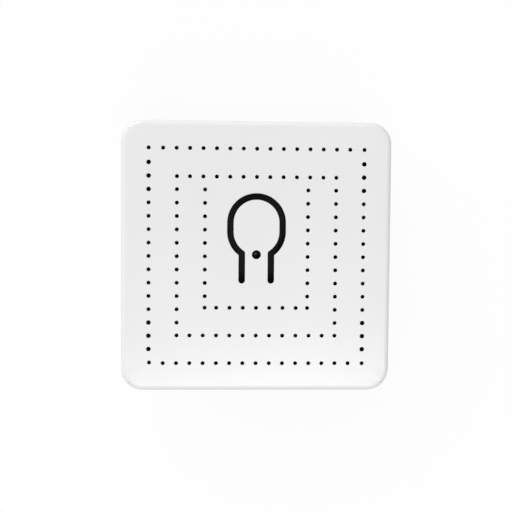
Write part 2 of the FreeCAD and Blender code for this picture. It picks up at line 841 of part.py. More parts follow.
def clamp_screw(number):
    """Head towards the label face, plain shank in place of the thread, slot across the head."""
    body = new_body(f"clamp_screw_{number + 1}")
    profile = sketch_on(body, "XZ_Plane", 0)
    head, shank = size["screw_head_radius"], size["thread_radius"] - size["thread_gap"]
    tip = tag_low - size["screw_gap"] - screw_low
    draw(
        profile,
        line_to(head, 0),
        line_to(head, size["screw_head_tall"]),
        line_to(shank, size["screw_head_tall"]),
        line_to(shank, tip),
        line_to(0, tip),
        line_to(0, 0),
    )
    turn(body, profile)
    slot = sketch_on(body, "XY_Plane", 0)
    draw_box(slot, (-head * 2, head * 2), (-size["screw_slot"] / 2, size["screw_slot"] / 2))
    pocket(body, slot, size["screw_slot_depth"])
    place(body, pole_x[number], screw_y, screw_low)


def clamp_cage(number):
    """A square metal loop: threaded foot below the tag, head that presses the wire onto the tag."""
    body = new_body(f"clamp_cage_{number + 1}")
    loop = sketch_on(body, "XZ_Plane", 0)
    draw_box(loop, (-cage_half, cage_half), (0, cage_top - cage_low))
    draw_box(loop, (-wire_half, wire_half), (size["cage_foot"], wire_top - cage_low))
    pad(body, loop, size["cage_depth"])
    hole = sketch_on(body, "XY_Plane", 0)
    draw_circle(hole, 0, -size["cage_depth"] / 2, size["thread_radius"])
    pocket(body, hole, size["cage_foot"])
    place(body, pole_x[number], cage_back_y, cage_low)


def terminal_tags():
    """Flat tags above the cage feet, each with a leg through the board."""
    tags = []
    for x in pole_x:
        bar = box("tag_bar", (x - tag_half, x + tag_half),
                  (cage_front_y, tag_leg_y[1]), (tag_low, wire_low))
        leg = box("tag_leg", (x - size["tag_leg_wide"] / 2, x + size["tag_leg_wide"] / 2),
                  tag_leg_y, (tag_low, pin_top))
        tags.append(join("tag", bar, leg))
    group("terminal_tags", tags)


for number in range(pole_count):
    clamp_screw(number)
    clamp_cage(number)
terminal_tags()


# Push switch on the board below the tab's post

def push_switch():
    side = size["switch_side"] / 2
    y = size["switch_y"]
    body_top = board_top + size["switch_body_tall"]

    base = new_body("switch_base")
    outline = sketch_on(base, "XY_Plane", board_top)
    draw_box(outline, (-side, side), (y - side, y + side))
    pad(base, outline, size["switch_body_tall"])
    well = sketch_on(base, "XY_Plane", board_top + size["switch_well_floor"])
    draw_circle(well, 0, y, size["switch_well_radius"])
    pocket(base, well, size["switch_body_tall"] - size["switch_well_floor"])

    frame = new_body("switch_frame")
    plate = sketch_on(frame, "XY_Plane", body_top)
    skin = side + size["switch_frame_wall"]
    draw_box(plate, (-skin, skin), (y - side, y + side))
    draw_circle(plate, 0, y, size["plunger_radius"] + size["plunger_gap"])
    pad(frame, plate, size["switch_frame_wall"])
    for low, high in ((-skin, -side), (side, skin)):
        leg = sketch_on(frame, "XY_Plane", board_top)
        draw_box(leg, (low, high), (y - side, y + side))
        pad(frame, leg, size["switch_body_tall"] + size["switch_frame_wall"] / 2)

    plunger = new_body("switch_plunger")
    profile = sketch_on(plunger, "XZ_Plane", 0)
    flange_top = body_top - size["plunger_gap"] / 2
    flange_low = flange_top - size["plunger_flange_wall"]
    draw(
        profile,
        line_to(size["plunger_flange"], flange_low),
        line_to(size["plunger_flange"], flange_top),
        line_to(size["plunger_radius"], flange_top),
        line_to(size["plunger_radius"], plunger_top),
        line_to(0, plunger_top),
        line_to(0, flange_low),
    )
    turn(plunger, profile)
    place(plunger, 0, y, 0)

    dome = new_body("switch_dome")
    sheet = sketch_on(dome, "XZ_Plane", 0)
    well_top = board_top + size["switch_well_floor"]
    reach = size["switch_well_radius"] - size["dome_gap"]
    rise, skin = size["dome_rise"], size["dome_wall"]
    centre = well_top + rise - (reach * reach + rise * rise) / (rise * 2)
    draw(
        sheet,
        line_to(reach, well_top),
        line_to(reach, well_top + skin),
        arc_to(0, well_top + rise + skin, 0, centre + skin),
        line_to(0, well_top + rise),
        line_to(reach * 0.5, well_top + rise * 0.8),
    )
    turn(dome, sheet)
    place(dome, 0, y, 0)


def status_led():
    x, y = size["light_long"] / 2, size["light_wide"] / 2
    middle = size["light_y"]
    foot = box("led_foot", (-x, x), (middle - y, middle + y), (board_top, board_top + size["light_base"]))
    lens_x = size["light_lens"] / 2
    lens = box("led_lens", (-lens_x, lens_x), (middle - y, middle + y),
               (board_top + size["light_base"] / 2, board_top + size["light_tall"]))
    keep(join("status_led", foot, lens), "status_led")


push_switch()
status_led()


# Relay below the board: case, base with its pins, coil on its yoke, and the armature with its blade

relay_low_x = size["relay_side_gap"] - rib_inner
relay_high_x = relay_low_x + size["relay_long"]
relay_high_y = rib_inner - size["relay_far_gap"]
relay_low_y = relay_high_y - size["relay_wide"]
relay_y = (relay_low_y + relay_high_y) / 2
relay_low = size["floor_wall"] + size["relay_floor_gap"]
relay_tall = board_low - relay_low
relay_base_low = board_low - size["relay_base_wall"]
yoke_low = relay_low + size["relay_wall"] + size["yoke_room"]
yoke_back_x = relay_low_x + size["relay_wall"] + size["yoke_room"]
coil_low_x = yoke_back_x + size["yoke_wall"] + size["coil_gap"]
pole_face_x = relay_high_x - size["relay_wall"] - size["armature_room"]
coil_high_x = pole_face_x - size["pole_wall"] - size["coil_gap"]
bobbin_low = yoke_low + size["yoke_wall"] + size["coil_gap"]
bobbin_half_tall = (relay_base_low - size["coil_room"] - bobbin_low) / 2
coil_z = bobbin_low + bobbin_half_tall
coil_radius = bobbin_half_tall - size["coil_rim"]
pole_radius = bobbin_half_tall - size["pole_rim"]
bobbin_radius = coil_radius - size["winding_wall"] - size["core_gap"]
core_radius = bobbin_radius - size["tube_wall"] - size["core_gap"]
pivot_x = pole_face_x + size["contact_gap"]
pivot_z = yoke_low + size["yoke_wall"] / 2
armature_tall = relay_base_low - size["armature_top_gap"] - pivot_z
contact_up = armature_tall - size["contact_drop"]
contact_y = relay_y + size["yoke_wide"] / 2 + size["blade_ear"] / 2
contact_x = pivot_x + size["armature_wall"] - size["contact_wall"] - size["contact_gap"]
coil_pin_x = coil_low_x + size["bobbin_wall"] / 2
coil_pins = [(coil_pin_x, relay_y + size["coil_pin_step"] * way / 2) for way in (-1, 1)]
flat = size["terminal_pin_half"]
common_pin = ((yoke_back_x, yoke_back_x + size["yoke_wall"] / 2), (relay_y - flat, relay_y + flat))
contact_back_x = contact_x - size["contact_wall"]
contact_pin = ((contact_back_x - flat, contact_back_x), (contact_y - flat, contact_y + flat))


def relay_pin_holes(body, height, depth):
    holes = sketch_on(body, "XY_Plane", height)
    gap = size["pin_gap"]
    draw_circles(holes, [(x, y, size["coil_pin_radius"] + gap) for x, y in coil_pins])
    for x, y in (common_pin, contact_pin):
        draw_box(holes, (x[0] - gap, x[1] + gap), (y[0] - gap, y[1] + gap))
    pocket(body, holes, depth)


def relay_case():
    body = new_body("relay_case")
    outline = sketch_on(body, "XY_Plane", relay_low)
    draw_round_box(outline, (relay_low_x, relay_high_x), (relay_low_y, relay_high_y), size["relay_wall"])
    pad(body, outline, relay_tall - size["relay_lip"])
    hollow = sketch_on(body, "XY_Plane", relay_low + size["relay_wall"])
    wall = size["relay_wall"]
    draw_box(hollow, (relay_low_x + wall, relay_high_x - wall), (relay_low_y + wall, relay_high_y - wall))
    pocket(body, hollow, relay_tall)


def relay_base():
    body = new_body("relay_base")
    plate = sketch_on(body, "XY_Plane", relay_base_low)
    wall = size["relay_wall"] + size["relay_gap"]
    draw_box(plate, (relay_low_x + wall, relay_high_x - wall), (relay_low_y + wall, relay_high_y - wall))
    pad(body, plate, size["relay_base_wall"])
    relay_pin_holes(body, relay_base_low, size["relay_base_wall"])


def relay_yoke():
    """An L of iron: back plate behind the coil, leg below it, and the common pin."""
    body = new_body("relay_yoke")
    shape = sketch_on(body, "XZ_Plane", -relay_y - size["yoke_wide"] / 2)
    end_x = pivot_x - size["armature_foot"]
    draw(
        shape,
        line_to(end_x, yoke_low),
        line_to(end_x, yoke_low + size["yoke_wall"]),
        line_to(yoke_back_x + size["yoke_wall"], yoke_low + size["yoke_wall"]),
        line_to(yoke_back_x + size["yoke_wall"], coil_z + pole_radius),
        line_to(yoke_back_x, coil_z + pole_radius),
        line_to(yoke_back_x, yoke_low),
    )
    pad(body, shape, size["yoke_wide"])
    pin = sketch_on(body, "XY_Plane", coil_z)
    draw_box(pin, *common_pin)
    pad(body, pin, pin_top - coil_z)


def relay_coil():
    y = relay_y
    core = rod("core_bar", yoke_back_x + size["yoke_wall"], y, coil_z, core_radius,
               pole_face_x - yoke_back_x - size["yoke_wall"], "x")
    pole = rod("pole", pole_face_x - size["pole_wall"], y, coil_z, pole_radius, size["pole_wall"], "x")
    keep(join("relay_core", core, pole), "relay_core")

    bobbin = new_body("relay_bobbin")
    wall, wide, tall = size["bobbin_wall"], size["bobbin_half_wide"], bobbin_half_tall
    bore = core_radius + size["core_gap"]
    for start, length in ((coil_low_x, wall), (coil_high_x - wall, wall)):
        flange = sketch_on(bobbin, "YZ_Plane", start)
        draw_box(flange, (y - wide, y + wide), (coil_z - tall, coil_z + tall))
        draw_circle(flange, y, coil_z, bore)
        pad(bobbin, flange, length)
        if start is coil_low_x:
            tube = sketch_on(bobbin, "YZ_Plane", coil_low_x)
            draw_circles(tube, [(y, coil_z, bobbin_radius), (y, coil_z, bore)])
            pad(bobbin, tube, coil_high_x - coil_low_x)

    winding = new_body("relay_winding")
    ring = sketch_on(winding, "YZ_Plane", coil_low_x + wall)
    inner = bobbin_radius + size["core_gap"]
    draw_circles(ring, [(y, coil_z, coil_radius), (y, coil_z, inner)])
    pad(winding, ring, coil_high_x - coil_low_x - wall * 2)

    flange_top = coil_z + tall
    pins = [rod("coil_pin", pin_x, pin_y, flange_top, size["coil_pin_radius"], pin_top - flange_top)
            for pin_x, pin_y in coil_pins]
    group("relay_coil_pins", pins)


def lean_back(body):
    """Puts a piece drawn about the armature's pivot at its place with the coil off."""
    body.Placement = FreeCAD.Placement(FreeCAD.Vector(), FreeCAD.Rotation(FreeCAD.Vector(0, 1, 0), 1))
    body.setExpression("Placement.Rotation.Angle", size["armature_tilt"].text)
    place(body, pivot_x, relay_y, pivot_z)


def relay_armature():
    body = new_body("relay_armature")
    half_wide = size["yoke_wide"] / 2
    plate = sketch_on(body, "XY_Plane", 0)
    draw_box(plate, (0, size["armature_wall"]), (-half_wide, half_wide))
    pad(body, plate, armature_tall)
    lean_back(body)

    blade = new_body("relay_blade")
    back = size["armature_wall"]
    ear_low = contact_up - size["contact_radius"] * 1.5
    ear_end = half_wide + size["blade_ear"]
    leaf = sketch_on(blade, "YZ_Plane", back)
    draw(
        leaf,
        line_to(half_wide, size["blade_low"]),
        line_to(half_wide, ear_low),
        line_to(ear_end, ear_low),
        line_to(ear_end, armature_tall),
        line_to(-half_wide, armature_tall),
        line_to(-half_wide, size["blade_low"]),
    )
    pad(blade, leaf, size["blade_wall"])
    contact = sketch_on(blade, "YZ_Plane", back - size["contact_wall"])
    draw_circle(contact, half_wide + size["blade_ear"] / 2, contact_up, size["contact_radius"])
    pad(blade, contact, size["contact_wall"] + size["blade_wall"] / 2)
    lean_back(blade)


def relay_contacts():
    """The fixed contact on its flat pin, and the leaf that holds the armature's foot."""
    z = pivot_z + contact_up
    reach = size["contact_radius"] + size["contact_gap"]
    contact = rod("fixed_disc", contact_back_x - flat / 2, contact_y, z, size["contact_radius"],
                  size["contact_wall"] + flat / 2, "x")
    plate = box("fixed_plate", contact_pin[0], (contact_y - reach, contact_y + reach),
                (z - reach, relay_base_low))
    pin = box("fixed_pin", *contact_pin, (z, pin_top))
    keep(join("relay_fixed_contact", contact, plate, pin), "relay_fixed_contact")

    leaf = size["hinge_leaf_wall"]
    leaf_x = (pivot_x + size["armature_wall"] + size["hinge_leaf_gap"]
              + sine_of(size["armature_tilt"]) * size["hinge_leaf_up"])
    wide = size["yoke_wide"] / 2
    sides = (relay_y - wide, relay_y + wide)
    below = box("leaf_below", (leaf_x - size["hinge_leaf_long"], leaf_x + leaf), sides, (yoke_low - leaf, yoke_low))
    front = box("leaf_front", (leaf_x, leaf_x + leaf), sides, (yoke_low - leaf, pivot_z + size["hinge_leaf_up"]))
    keep(join("relay_hinge_spring", below, front), "relay_hinge_spring")


relay_case()
relay_base()
relay_yoke()
relay_coil()
relay_armature()
relay_contacts()


# Power supply parts below the board, each with its leads through the board

lead_half = size["lead_step"] / 2
radio_x = rib_inner - size["radio_rib_gap"] - size["radio_wall"]
bulk_low_x = relay_high_x + size["bulk_relay_gap"]
bulk_high_x = radio_x - size["can_deep"] - size["bulk_radio_gap"]
bulk_radius = (bulk_high_x - bulk_low_x) / 2
bulk_x = bulk_low_x + bulk_radius
bulk_y = inner_half - size["bulk_end_gap"] - size["bulk_long"]
bulk_z = board_low - size["bulk_hang"] - bulk_radius
bulk_lead_y = bulk_y - size["lead_radius"] * 2

# The varistor and the fuse resistor share the room between the terminal housing and the relay
yard = relay_low_y - clamp_back_y
fuse_space = (yard - size["varistor_wall"] - size["fuse_radius"] * 2) / 3
varistor_y = clamp_back_y + fuse_space + size["varistor_wall"] / 2
fuse_y = relay_low_y - fuse_space - size["fuse_radius"]
fuse_z = board_low - size["fuse_hang"] - size["fuse_radius"]
fuse_lead_low = size["fuse_rib_gap"] + size["lead_radius"] - rib_inner
fuse_x = fuse_lead_low + size["fuse_lead"] + size["fuse_long"] / 2
fuse_lead_x = [fuse_lead_low, fuse_lead_low + size["fuse_lead"] * 2 + size["fuse_long"]]
varistor_z = board_low - size["varistor_hang"] - size["varistor_radius"]
choke_y = (clamp_back_y + fuse_y - size["fuse_radius"]) / 2
output_y = clamp_back_y + size["output_gap"] + size["output_radius"]

# Varistor, choke, bridge rectifier and output capacitor stand in an even row between the hooks
row_half = hook_inner - size["row_end_gap"]
row_filled = (size["varistor_radius"] + size["choke_radius"] + size["output_radius"]) * 2 + size["bridge_long"]
row_space = (row_half * 2 - row_filled) / 3
varistor_x = size["varistor_radius"] - row_half
choke_x = varistor_x + size["varistor_radius"] + row_space + size["choke_radius"]
bridge_x = choke_x + size["choke_radius"] + row_space + size["bridge_long"] / 2
output_x = row_half - size["output_radius"]

# The bridge rectifier and the supply chip stand one behind the other in the same room
bridge_deep = size["bridge_wide"] + size["chip_foot"] * 2
chip_deep = size["chip_wide"] + size["chip_foot"] * 2
chip_space = (yard - bridge_deep - chip_deep) / 3
bridge_y = clamp_back_y + chip_space + bridge_deep / 2
chip_y = relay_low_y - chip_space - chip_deep / 2


def lead_spots():
    """Where the wire leads go through the board."""
    spots = [(bulk_x + lead_half * side, bulk_lead_y) for side in (-1, 1)]
    spots += [(output_x + lead_half * side, output_y) for side in (-1, 1)]
    spots += [(varistor_x + lead_half * side, varistor_y) for side in (-1, 1)]
    spots += [(choke_x + lead_half * side, choke_y) for side in (-1, 1)]
    spots += [(x, fuse_y) for x in fuse_lead_x]
    return spots


def lead(x, y, low):
    return rod("lead", x, y, low, size["lead_radius"], pin_top - low)


def capacitor_can(name, radius, length):
    """An aluminium can along +Y: crimped near its open end, rounded at the other."""
    body = plain_body(name)
    profile = sketch_on(body, "XY_Plane", 0)
    neck, soft = size["can_neck"], size["can_round"]
    draw(
        profile,
        line_to(radius, 0),
        line_to(radius, neck * 2),
        line_to(radius - neck, neck * 3),
        line_to(radius, neck * 4),
        line_to(radius, length - soft),
        arc_to(radius - soft, length, radius - soft, length - soft),
        line_to(0, length),
        line_to(0, 0),
    )
    turn(body, profile)
    return body


def capacitors():
    can = capacitor_can("bulk_can", bulk_radius, size["bulk_long"])
    place(can, bulk_x, bulk_y, bulk_z)
    wires = []
    for side in (-1, 1):
        x = bulk_x + lead_half * side
        reach = size["lead_radius"] * 3
        wires.append(rod("lead_out", x, bulk_lead_y, bulk_z, size["lead_radius"], reach, "y"))
        wires.append(lead(x, bulk_lead_y, bulk_z - size["lead_radius"]))
    keep(join("bulk_capacitor", can, *wires), "bulk_capacitor")

    can = capacitor_can("output_can", size["output_radius"], size["output_long"])
    can.Placement = FreeCAD.Placement(FreeCAD.Vector(), FreeCAD.Rotation(FreeCAD.Vector(1, 0, 0), -90))
    place(can, output_x, output_y, board_low)
    wires = [lead(output_x + lead_half * side, output_y, board_low - size["can_round"])
             for side in (-1, 1)]
    keep(join("output_capacitor", can, *wires), "output_capacitor")


def choke():
    """A drum of ferrite with a copper winding between its flanges."""
    radius, tall, waist, rim = (size[f"choke_{name}"] for name in ("radius", "tall", "waist", "flange"))
    drum = plain_body("drum")
    profile = sketch_on(drum, "XZ_Plane", 0)
    draw(
        profile,
        line_to(radius, 0),
        line_to(radius, rim),
        line_to(waist, rim),
        line_to(waist, tall - rim),
        line_to(radius, tall - rim),
        line_to(radius, tall),
        line_to(0, tall),
        line_to(0, 0),
    )
    turn(drum, profile)
    place(drum, choke_x, choke_y, board_low - tall)
    wires = [lead(choke_x + lead_half * side, choke_y, board_low - rim / 2) for side in (-1, 1)]
    keep(join("choke_core", drum, *wires), "choke_core")

    winding = new_body("choke_winding")
    ring = sketch_on(winding, "XY_Plane", 0)
    draw_circles(ring, [(0, 0, radius - size["choke_wire"]), (0, 0, waist + size["core_gap"])])
    pad(winding, ring, tall - rim * 2)
    place(winding, choke_x, choke_y, board_low - tall + rim)


def fuse_resistor():
    length = size["fuse_long"]
    barrel = rod("barrel", fuse_x - length / 2, fuse_y, fuse_z, size["fuse_radius"], length, "x")
    axle = rod("axle", fuse_lead_x[0] - size["lead_radius"], fuse_y, fuse_z, size["lead_radius"],
               fuse_lead_x[1] - fuse_lead_x[0] + size["lead_radius"] * 2, "x")
    wires = [lead(lead_x, fuse_y, fuse_z - size["lead_radius"]) for lead_x in fuse_lead_x]
    keep(join("fuse_resistor", barrel, axle, *wires), "fuse_resistor")


def varistor():
    """A dipped disc on edge, with a full round rim."""
    disc = plain_body("disc")
    profile = sketch_on(disc, "XY_Plane", 0)
    thick = size["varistor_wall"] / 2
    rim_x = size["varistor_radius"] - thick
    draw(
        profile,
        line_to(rim_x, -thick),
        arc_to(rim_x, thick, rim_x, 0),
        line_to(0, thick),
        line_to(0, -thick),
    )
    turn(disc, profile)
    place(disc, varistor_x, varistor_y, varistor_z)
    wires = [lead(varistor_x + lead_half * side, varistor_y, varistor_z) for side in (-1, 1)]
    keep(join("varistor", disc, *wires), "varistor")


def legged_chip(label, x, y, long, wide, tall, legs, face, up):
    """A moulded chip with legs along its two long sides. up is -1 for a chip below the board."""
    wall, foot = size["chip_foot_wall"], size["chip_foot"]

    def heights(near, far):
        return low_first(face + as_size(near) * up, face + as_size(far) * up)

    parts = [box("chip", (x - long / 2, x + long / 2), (y - wide / 2, y + wide / 2), heights(wall / 2, tall))]
    step = long / (max(legs) + 1)
    for side, count in zip((-1, 1), legs):
        edge = y + wide / 2 * side
        for number in range(count):
            middle = x + step * (number - (count - 1) / 2) * (2 if count < max(legs) else 1)
            width = (middle - step / 4, middle + step / 4)
            out, back = edge + foot * side, edge - wall * side
            parts.append(box("foot", width, low_first(back, out), heights(0, wall)))
            parts.append(box("riser", width, low_first(back, edge + wall * side), heights(0, tall / 2)))
    keep(join(label, *parts), label)


def chips():
    legged_chip("bridge_rectifier", bridge_x, bridge_y, size["bridge_long"],
                size["bridge_wide"], size["bridge_tall"], (2, 2), board_low, -1)
    legged_chip("supply_chip", bridge_x, chip_y, size["chip_long"],
                size["chip_wide"], size["chip_tall"], (4, 4), board_low, -1)
    legged_chip("driver_transistor", size["driver_x"], size["driver_y"], size["driver_long"],
                size["driver_wide"], size["driver_tall"], (2, 1), board_top, 1)


def small_parts():
    """Two rows of small parts on the upper side of the board."""
    for label, side, tall in (("chip_resistors", -1, "resistor_tall"), ("chip_capacitors", 1, "capacitor_tall")):
        x = size["small_row_x"] * side
        row = []
        for number in range(4):
            y = size["small_row_y"] + size["small_step"] * number
            row.append(box("small_part", (x - size["small_long"] / 2, x + size["small_long"] / 2),
                           (y - size["small_wide"] / 2, y + size["small_wide"] / 2),
                           (board_top, board_top + size[tall])))
        group(label, row)


capacitors()
choke()
fuse_resistor()
varistor()
chips()
small_parts()


# Radio board, on edge below the main board, with its chip under a metal can

def radio():
    x = radio_x
    y = inner_half - size["radio_end_gap"] - size["radio_long"] / 2
    radio_low = size["floor_wall"] + size["radio_floor_gap"]
    middle_z = (board_low + radio_low) / 2
    board = new_body("radio_board")
    outline = sketch_on(board, "YZ_Plane", x)
    half_long = size["radio_long"] / 2
    draw_box(outline, (y - half_long, y + half_long), (radio_low, board_low))
    pad(board, outline, size["radio_wall"])

    can = new_body("radio_can")
    long, wall = size["can_long"] / 2, size["can_wall"]
    tall = (board_low - radio_low) / 2 - size["can_margin"]
    outline = sketch_on(can, "YZ_Plane", x - size["can_deep"])
    draw_box(outline, (y - long, y + long), (middle_z - tall, middle_z + tall))
    pad(can, outline, size["can_deep"])
    hollow = sketch_on(can, "YZ_Plane", x - size["can_deep"] + wall)
    draw_box(hollow, (y - long + wall, y + long - wall), (middle_z - tall + wall, middle_z + tall - wall))
    pocket(can, hollow, size["can_deep"] - wall)

    side = size["radio_chip_side"] / 2
    chip = box("radio_chip", (x - size["radio_chip_tall"], x), (y - side, y + side),
               (middle_z - side, middle_z + side))
    keep(chip, "radio_chip")


radio()


# Main board: notched for the hooks, with a hole for each pin and leg

def circuit_board():
    body = new_body("circuit_board")
    outline = sketch_on(body, "XY_Plane", board_low)
    draw_round_box(outline, (-board_half, board_half), (-board_half, board_half), inner_corner - size["board_gap"])
    pad(body, outline, size["board_wall"])
    notches = sketch_on(body, "XY_Plane", board_low)
    for side, way in hook_sides:
        middle = size["hook_y"] * way
        spread = size["hook_width"] / 2 + size["board_gap"]
        ends = low_first((hook_inner - size["board_gap"]) * side, half * side)
        draw_box(notches, ends, (middle - spread, middle + spread))
    pocket(body, notches, size["board_wall"])
    leg = sketch_on(body, "XY_Plane", board_low)
    spread = size["tag_leg_wide"] / 2 + size["pin_gap"]
    draw_box(leg, (pole_x[0] - spread, pole_x[0] + spread),
             (tag_leg_y[0] - size["pin_gap"], tag_leg_y[1] + size["pin_gap"]))
    repeat_poles(body, pocket(body, leg, size["board_wall"]))
    leads = sketch_on(body, "XY_Plane", board_low)
    draw_circles(leads, [(x, y, size["lead_radius"] + size["pin_gap"]) for x, y in lead_spots()])
    pocket(body, leads, size["board_wall"])
    relay_pin_holes(body, board_low, size["board_wall"])


circuit_board()


def finish():
    doc.recompute()
    for thing in doc.Objects:
        if "Invalid" in thing.State or "Error" in thing.State:
            raise ValueError(f"{thing.Name} ({thing.Label}) failed: {thing.State}")
    for piece in pieces:
        if piece.Shape.isNull() or not piece.Shape.isValid():
            raise ValueError(f"{piece.Label} has no valid shape")
    os.makedirs("parts", exist_ok=True)
    for piece in pieces:
        piece.Shape.exportStep(os.path.join("parts", f"{piece.Label}.step"))
    print(len(pieces), "sub-parts written")


finish()
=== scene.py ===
import math

import bmesh
import bpy
from mathutils import Matrix, Vector


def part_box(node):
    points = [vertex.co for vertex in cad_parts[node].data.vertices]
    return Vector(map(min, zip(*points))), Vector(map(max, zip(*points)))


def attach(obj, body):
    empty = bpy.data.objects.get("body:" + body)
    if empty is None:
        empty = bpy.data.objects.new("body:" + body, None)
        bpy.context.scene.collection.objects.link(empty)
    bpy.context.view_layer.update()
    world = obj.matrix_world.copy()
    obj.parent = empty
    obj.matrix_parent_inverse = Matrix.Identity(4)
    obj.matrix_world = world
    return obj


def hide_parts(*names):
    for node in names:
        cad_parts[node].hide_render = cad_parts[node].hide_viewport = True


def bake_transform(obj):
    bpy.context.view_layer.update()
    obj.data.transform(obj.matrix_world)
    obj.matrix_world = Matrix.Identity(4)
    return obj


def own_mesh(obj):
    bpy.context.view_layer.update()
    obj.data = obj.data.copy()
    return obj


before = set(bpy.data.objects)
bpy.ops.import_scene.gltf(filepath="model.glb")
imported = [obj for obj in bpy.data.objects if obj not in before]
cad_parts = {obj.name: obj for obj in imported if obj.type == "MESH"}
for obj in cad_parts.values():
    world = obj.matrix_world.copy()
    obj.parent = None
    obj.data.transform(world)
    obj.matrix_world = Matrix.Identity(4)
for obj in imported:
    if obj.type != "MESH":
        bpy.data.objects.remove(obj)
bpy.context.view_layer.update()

mm = 0.001


# White shell plastic
# Both halves of the case and the push tab are moulded in one flame retardant white plastic with a
# fine satin grain and a slow, faint tint from flow. The walls of the vents, of the slot and of the
# light hole carry painted shade: their colour falls off to near black a little below the face.

face_top, face_inside, edge_break = 18.0, 16.5, 0.04
case_half, case_wall = 19.6, 1.2
inner_half = case_half - case_wall
shade_full_below = 0.12


def math_node(operation):
    return lambda first, *others: first.math(operation, *others)


class Signal:
    """One socket of a node tree. Arithmetic on it adds the Math nodes that work it out."""

    def __init__(self, graph, socket):
        self.graph = graph
        self.socket = socket

    def out(self, name):
        return Signal(self.graph, self.socket.node.outputs[name])

    def math(self, operation, *others):
        operands = dict(enumerate((self, *others)))
        return self.graph.node("ShaderNodeMath", {"operation": operation}, operands)

    def __rsub__(self, other):
        return self.math("MULTIPLY", -1) + other

    __add__ = __radd__ = math_node("ADD")
    __sub__ = math_node("SUBTRACT")
    __mul__ = __rmul__ = math_node("MULTIPLY")
    __truediv__ = math_node("DIVIDE")
    __gt__ = math_node("GREATER_THAN")
    __lt__ = math_node("LESS_THAN")
    __abs__ = math_node("ABSOLUTE")


class Graph:
    """A node tree that is written as expressions."""

    def __init__(self, tree):
        self.tree = tree

    def node(self, kind, settings=None, inputs=None, out=0):
        """Adds a node, then sets it, then fills or links its sockets. Hands back one of its outputs."""
        made = self.tree.nodes.new(kind)
        for name, value in (settings or {}).items():
            setattr(made, name, value)
        for name, value in (inputs or {}).items():
            for part in value if isinstance(value, list) else [value]:
                if isinstance(part, Signal):
                    self.tree.links.new(part.socket, made.inputs[name])
                else:
                    made.inputs[name].default_value = part
        return Signal(self, made.outputs[out]) if made.outputs else None

    def vector(self, operation, operands, out=0):
        return self.node("ShaderNodeVectorMath", {"operation": operation}, operands, out)

    def xyz(self, **axes):
        return self.node("ShaderNodeCombineXYZ", inputs=axes)


class Finish(Graph):
    """A material, with the patterns that several finishes are mixed from."""

    def __init__(self, name):
        self.material = bpy.data.materials.new(name)
        self.material.use_nodes = True
        super().__init__(self.material.node_tree)
        self.tree.nodes.clear()
        self.place = self.node("ShaderNodeTexCoord", out="Object")
        axes = self.node("ShaderNodeSeparateXYZ", inputs={0: self.place})
        self.x, self.y, self.z = axes.out("X"), axes.out("Y"), axes.out("Z")

    def noise(self, size, detail=2.0, stretch=None):
        """Cloudy noise with lumps of about one size, in mm. stretch multiplies x, y and z first."""
        where = self.vector("MULTIPLY", {0: self.place, 1: stretch}) if stretch else self.place
        return self.node("ShaderNodeTexNoise", inputs={
            "Vector": where, "Scale": 1 / (size * mm), "Detail": detail})

    def between(self, signal, low, high):
        """How far a value has come from low to high, from 0 to 1."""
        return self.node("ShaderNodeMapRange", inputs={
            "Value": signal, "From Min": low, "From Max": high})

    def clouds(self, size, detail=2.0, low=0.3, high=0.7):
        """The same noise with more contrast, from 0 to 1."""
        return self.between(self.noise(size, detail), low, high)

    def blend(self, share, first, second):
        """The first colour where share is 0, and the second where it is 1."""
        colours = [part if isinstance(part, Signal) else (*part, 1) for part in (first, second)]
        inputs = {0: share, 6: colours[0], 7: colours[1]}
        return self.node("ShaderNodeMix", {"data_type": "RGBA"}, inputs, 2)

    def surface(self, colour, roughness, relief, depth, **more):
        """The finished material, which stands out by depth, in mm, where relief is 1. more gives
        other sockets of the shader, such as Metallic."""
        normal = self.node("ShaderNodeBump", inputs={"Height": relief, "Distance": depth * mm})
        sockets = {"Base Color": colour, "Roughness": roughness, "Normal": normal, **more}
        shader = self.node("ShaderNodeBsdfPrincipled", inputs=sockets)
        self.node("ShaderNodeOutputMaterial", inputs={"Surface": shader})
        return self


def white_plastic():
    paint = Finish("white_shell")
    grain = paint.clouds(0.11, 3)
    white = paint.blend(paint.clouds(14), (0.818, 0.816, 0.813), (0.838, 0.836, 0.838))
    off_middle = abs(paint.x).math("MAXIMUM", abs(paint.y))
    in_face = (off_middle < inner_half * mm) * (paint.z > (face_inside + 0.02) * mm)
    # Painted shade: the walls inside the face plate turn near black from just below the face downwards.
    painted_shade = paint.between(paint.z, (face_top - edge_break) * mm, (face_top - shade_full_below) * mm)
    colour = paint.blend(in_face * painted_shade, white, (0.05, 0.05, 0.052))
    return paint.surface(colour, 0.20 + grain * 0.08, grain, 0.002)


shell_white = white_plastic()


# Front cover
# The button face and its short skirt are one moulding, pierced by rings of round vents and by the
# slot round the push tab. Ribs hold the board, and four hooks snap into windows of the base shell.

seam, case_corner = 14.0, 3.2
face_round, seam_bevel = 0.8, 0.25
slot_half, slot_neck_round = 0.47, 0.12
leg_half, leg_steps, foot_steps = 2.111, 16, 12
root_y, root_steps = -3.453, 8
head_radius, head_low, head_high = 3.781, 3.584, 4.912
board_top = 14.5
rib_inner, rib_step, rib_half, rooted = 17.2, 13.0, 1.0, 0.2
hook_low, hook_inner, hook_outer, hook_step, hook_half = 10.9, 17.3, 18.3, 7.0, 2.0
catch_high, catch_out = 12.2, 19.0
VENT, HOLE, OUTLINE = 0, 1, 2


def arc(centre, radius, start, end, steps, inwards=False):
    """Points of an arc, from one angle to another in degrees, each with the way out of the shape."""
    points = []
    for number in range(steps + 1):
        angle = math.radians(start + (end - start) * number / steps)
        way = (math.cos(angle), math.sin(angle))
        spot = (centre[0] + radius * way[0], centre[1] + radius * way[1])
        points.append((spot, (-way[0], -way[1]) if inwards else way))
    return points


def straight(start, end, steps, way):
    """Points between two ends, without the ends."""
    (start_x, start_y), (end_x, end_y) = start, end
    shares = [number / steps for number in range(1, steps)]
    return [((start_x + (end_x - start_x) * share, start_y + (end_y - start_y) * share), way)
            for share in shares]


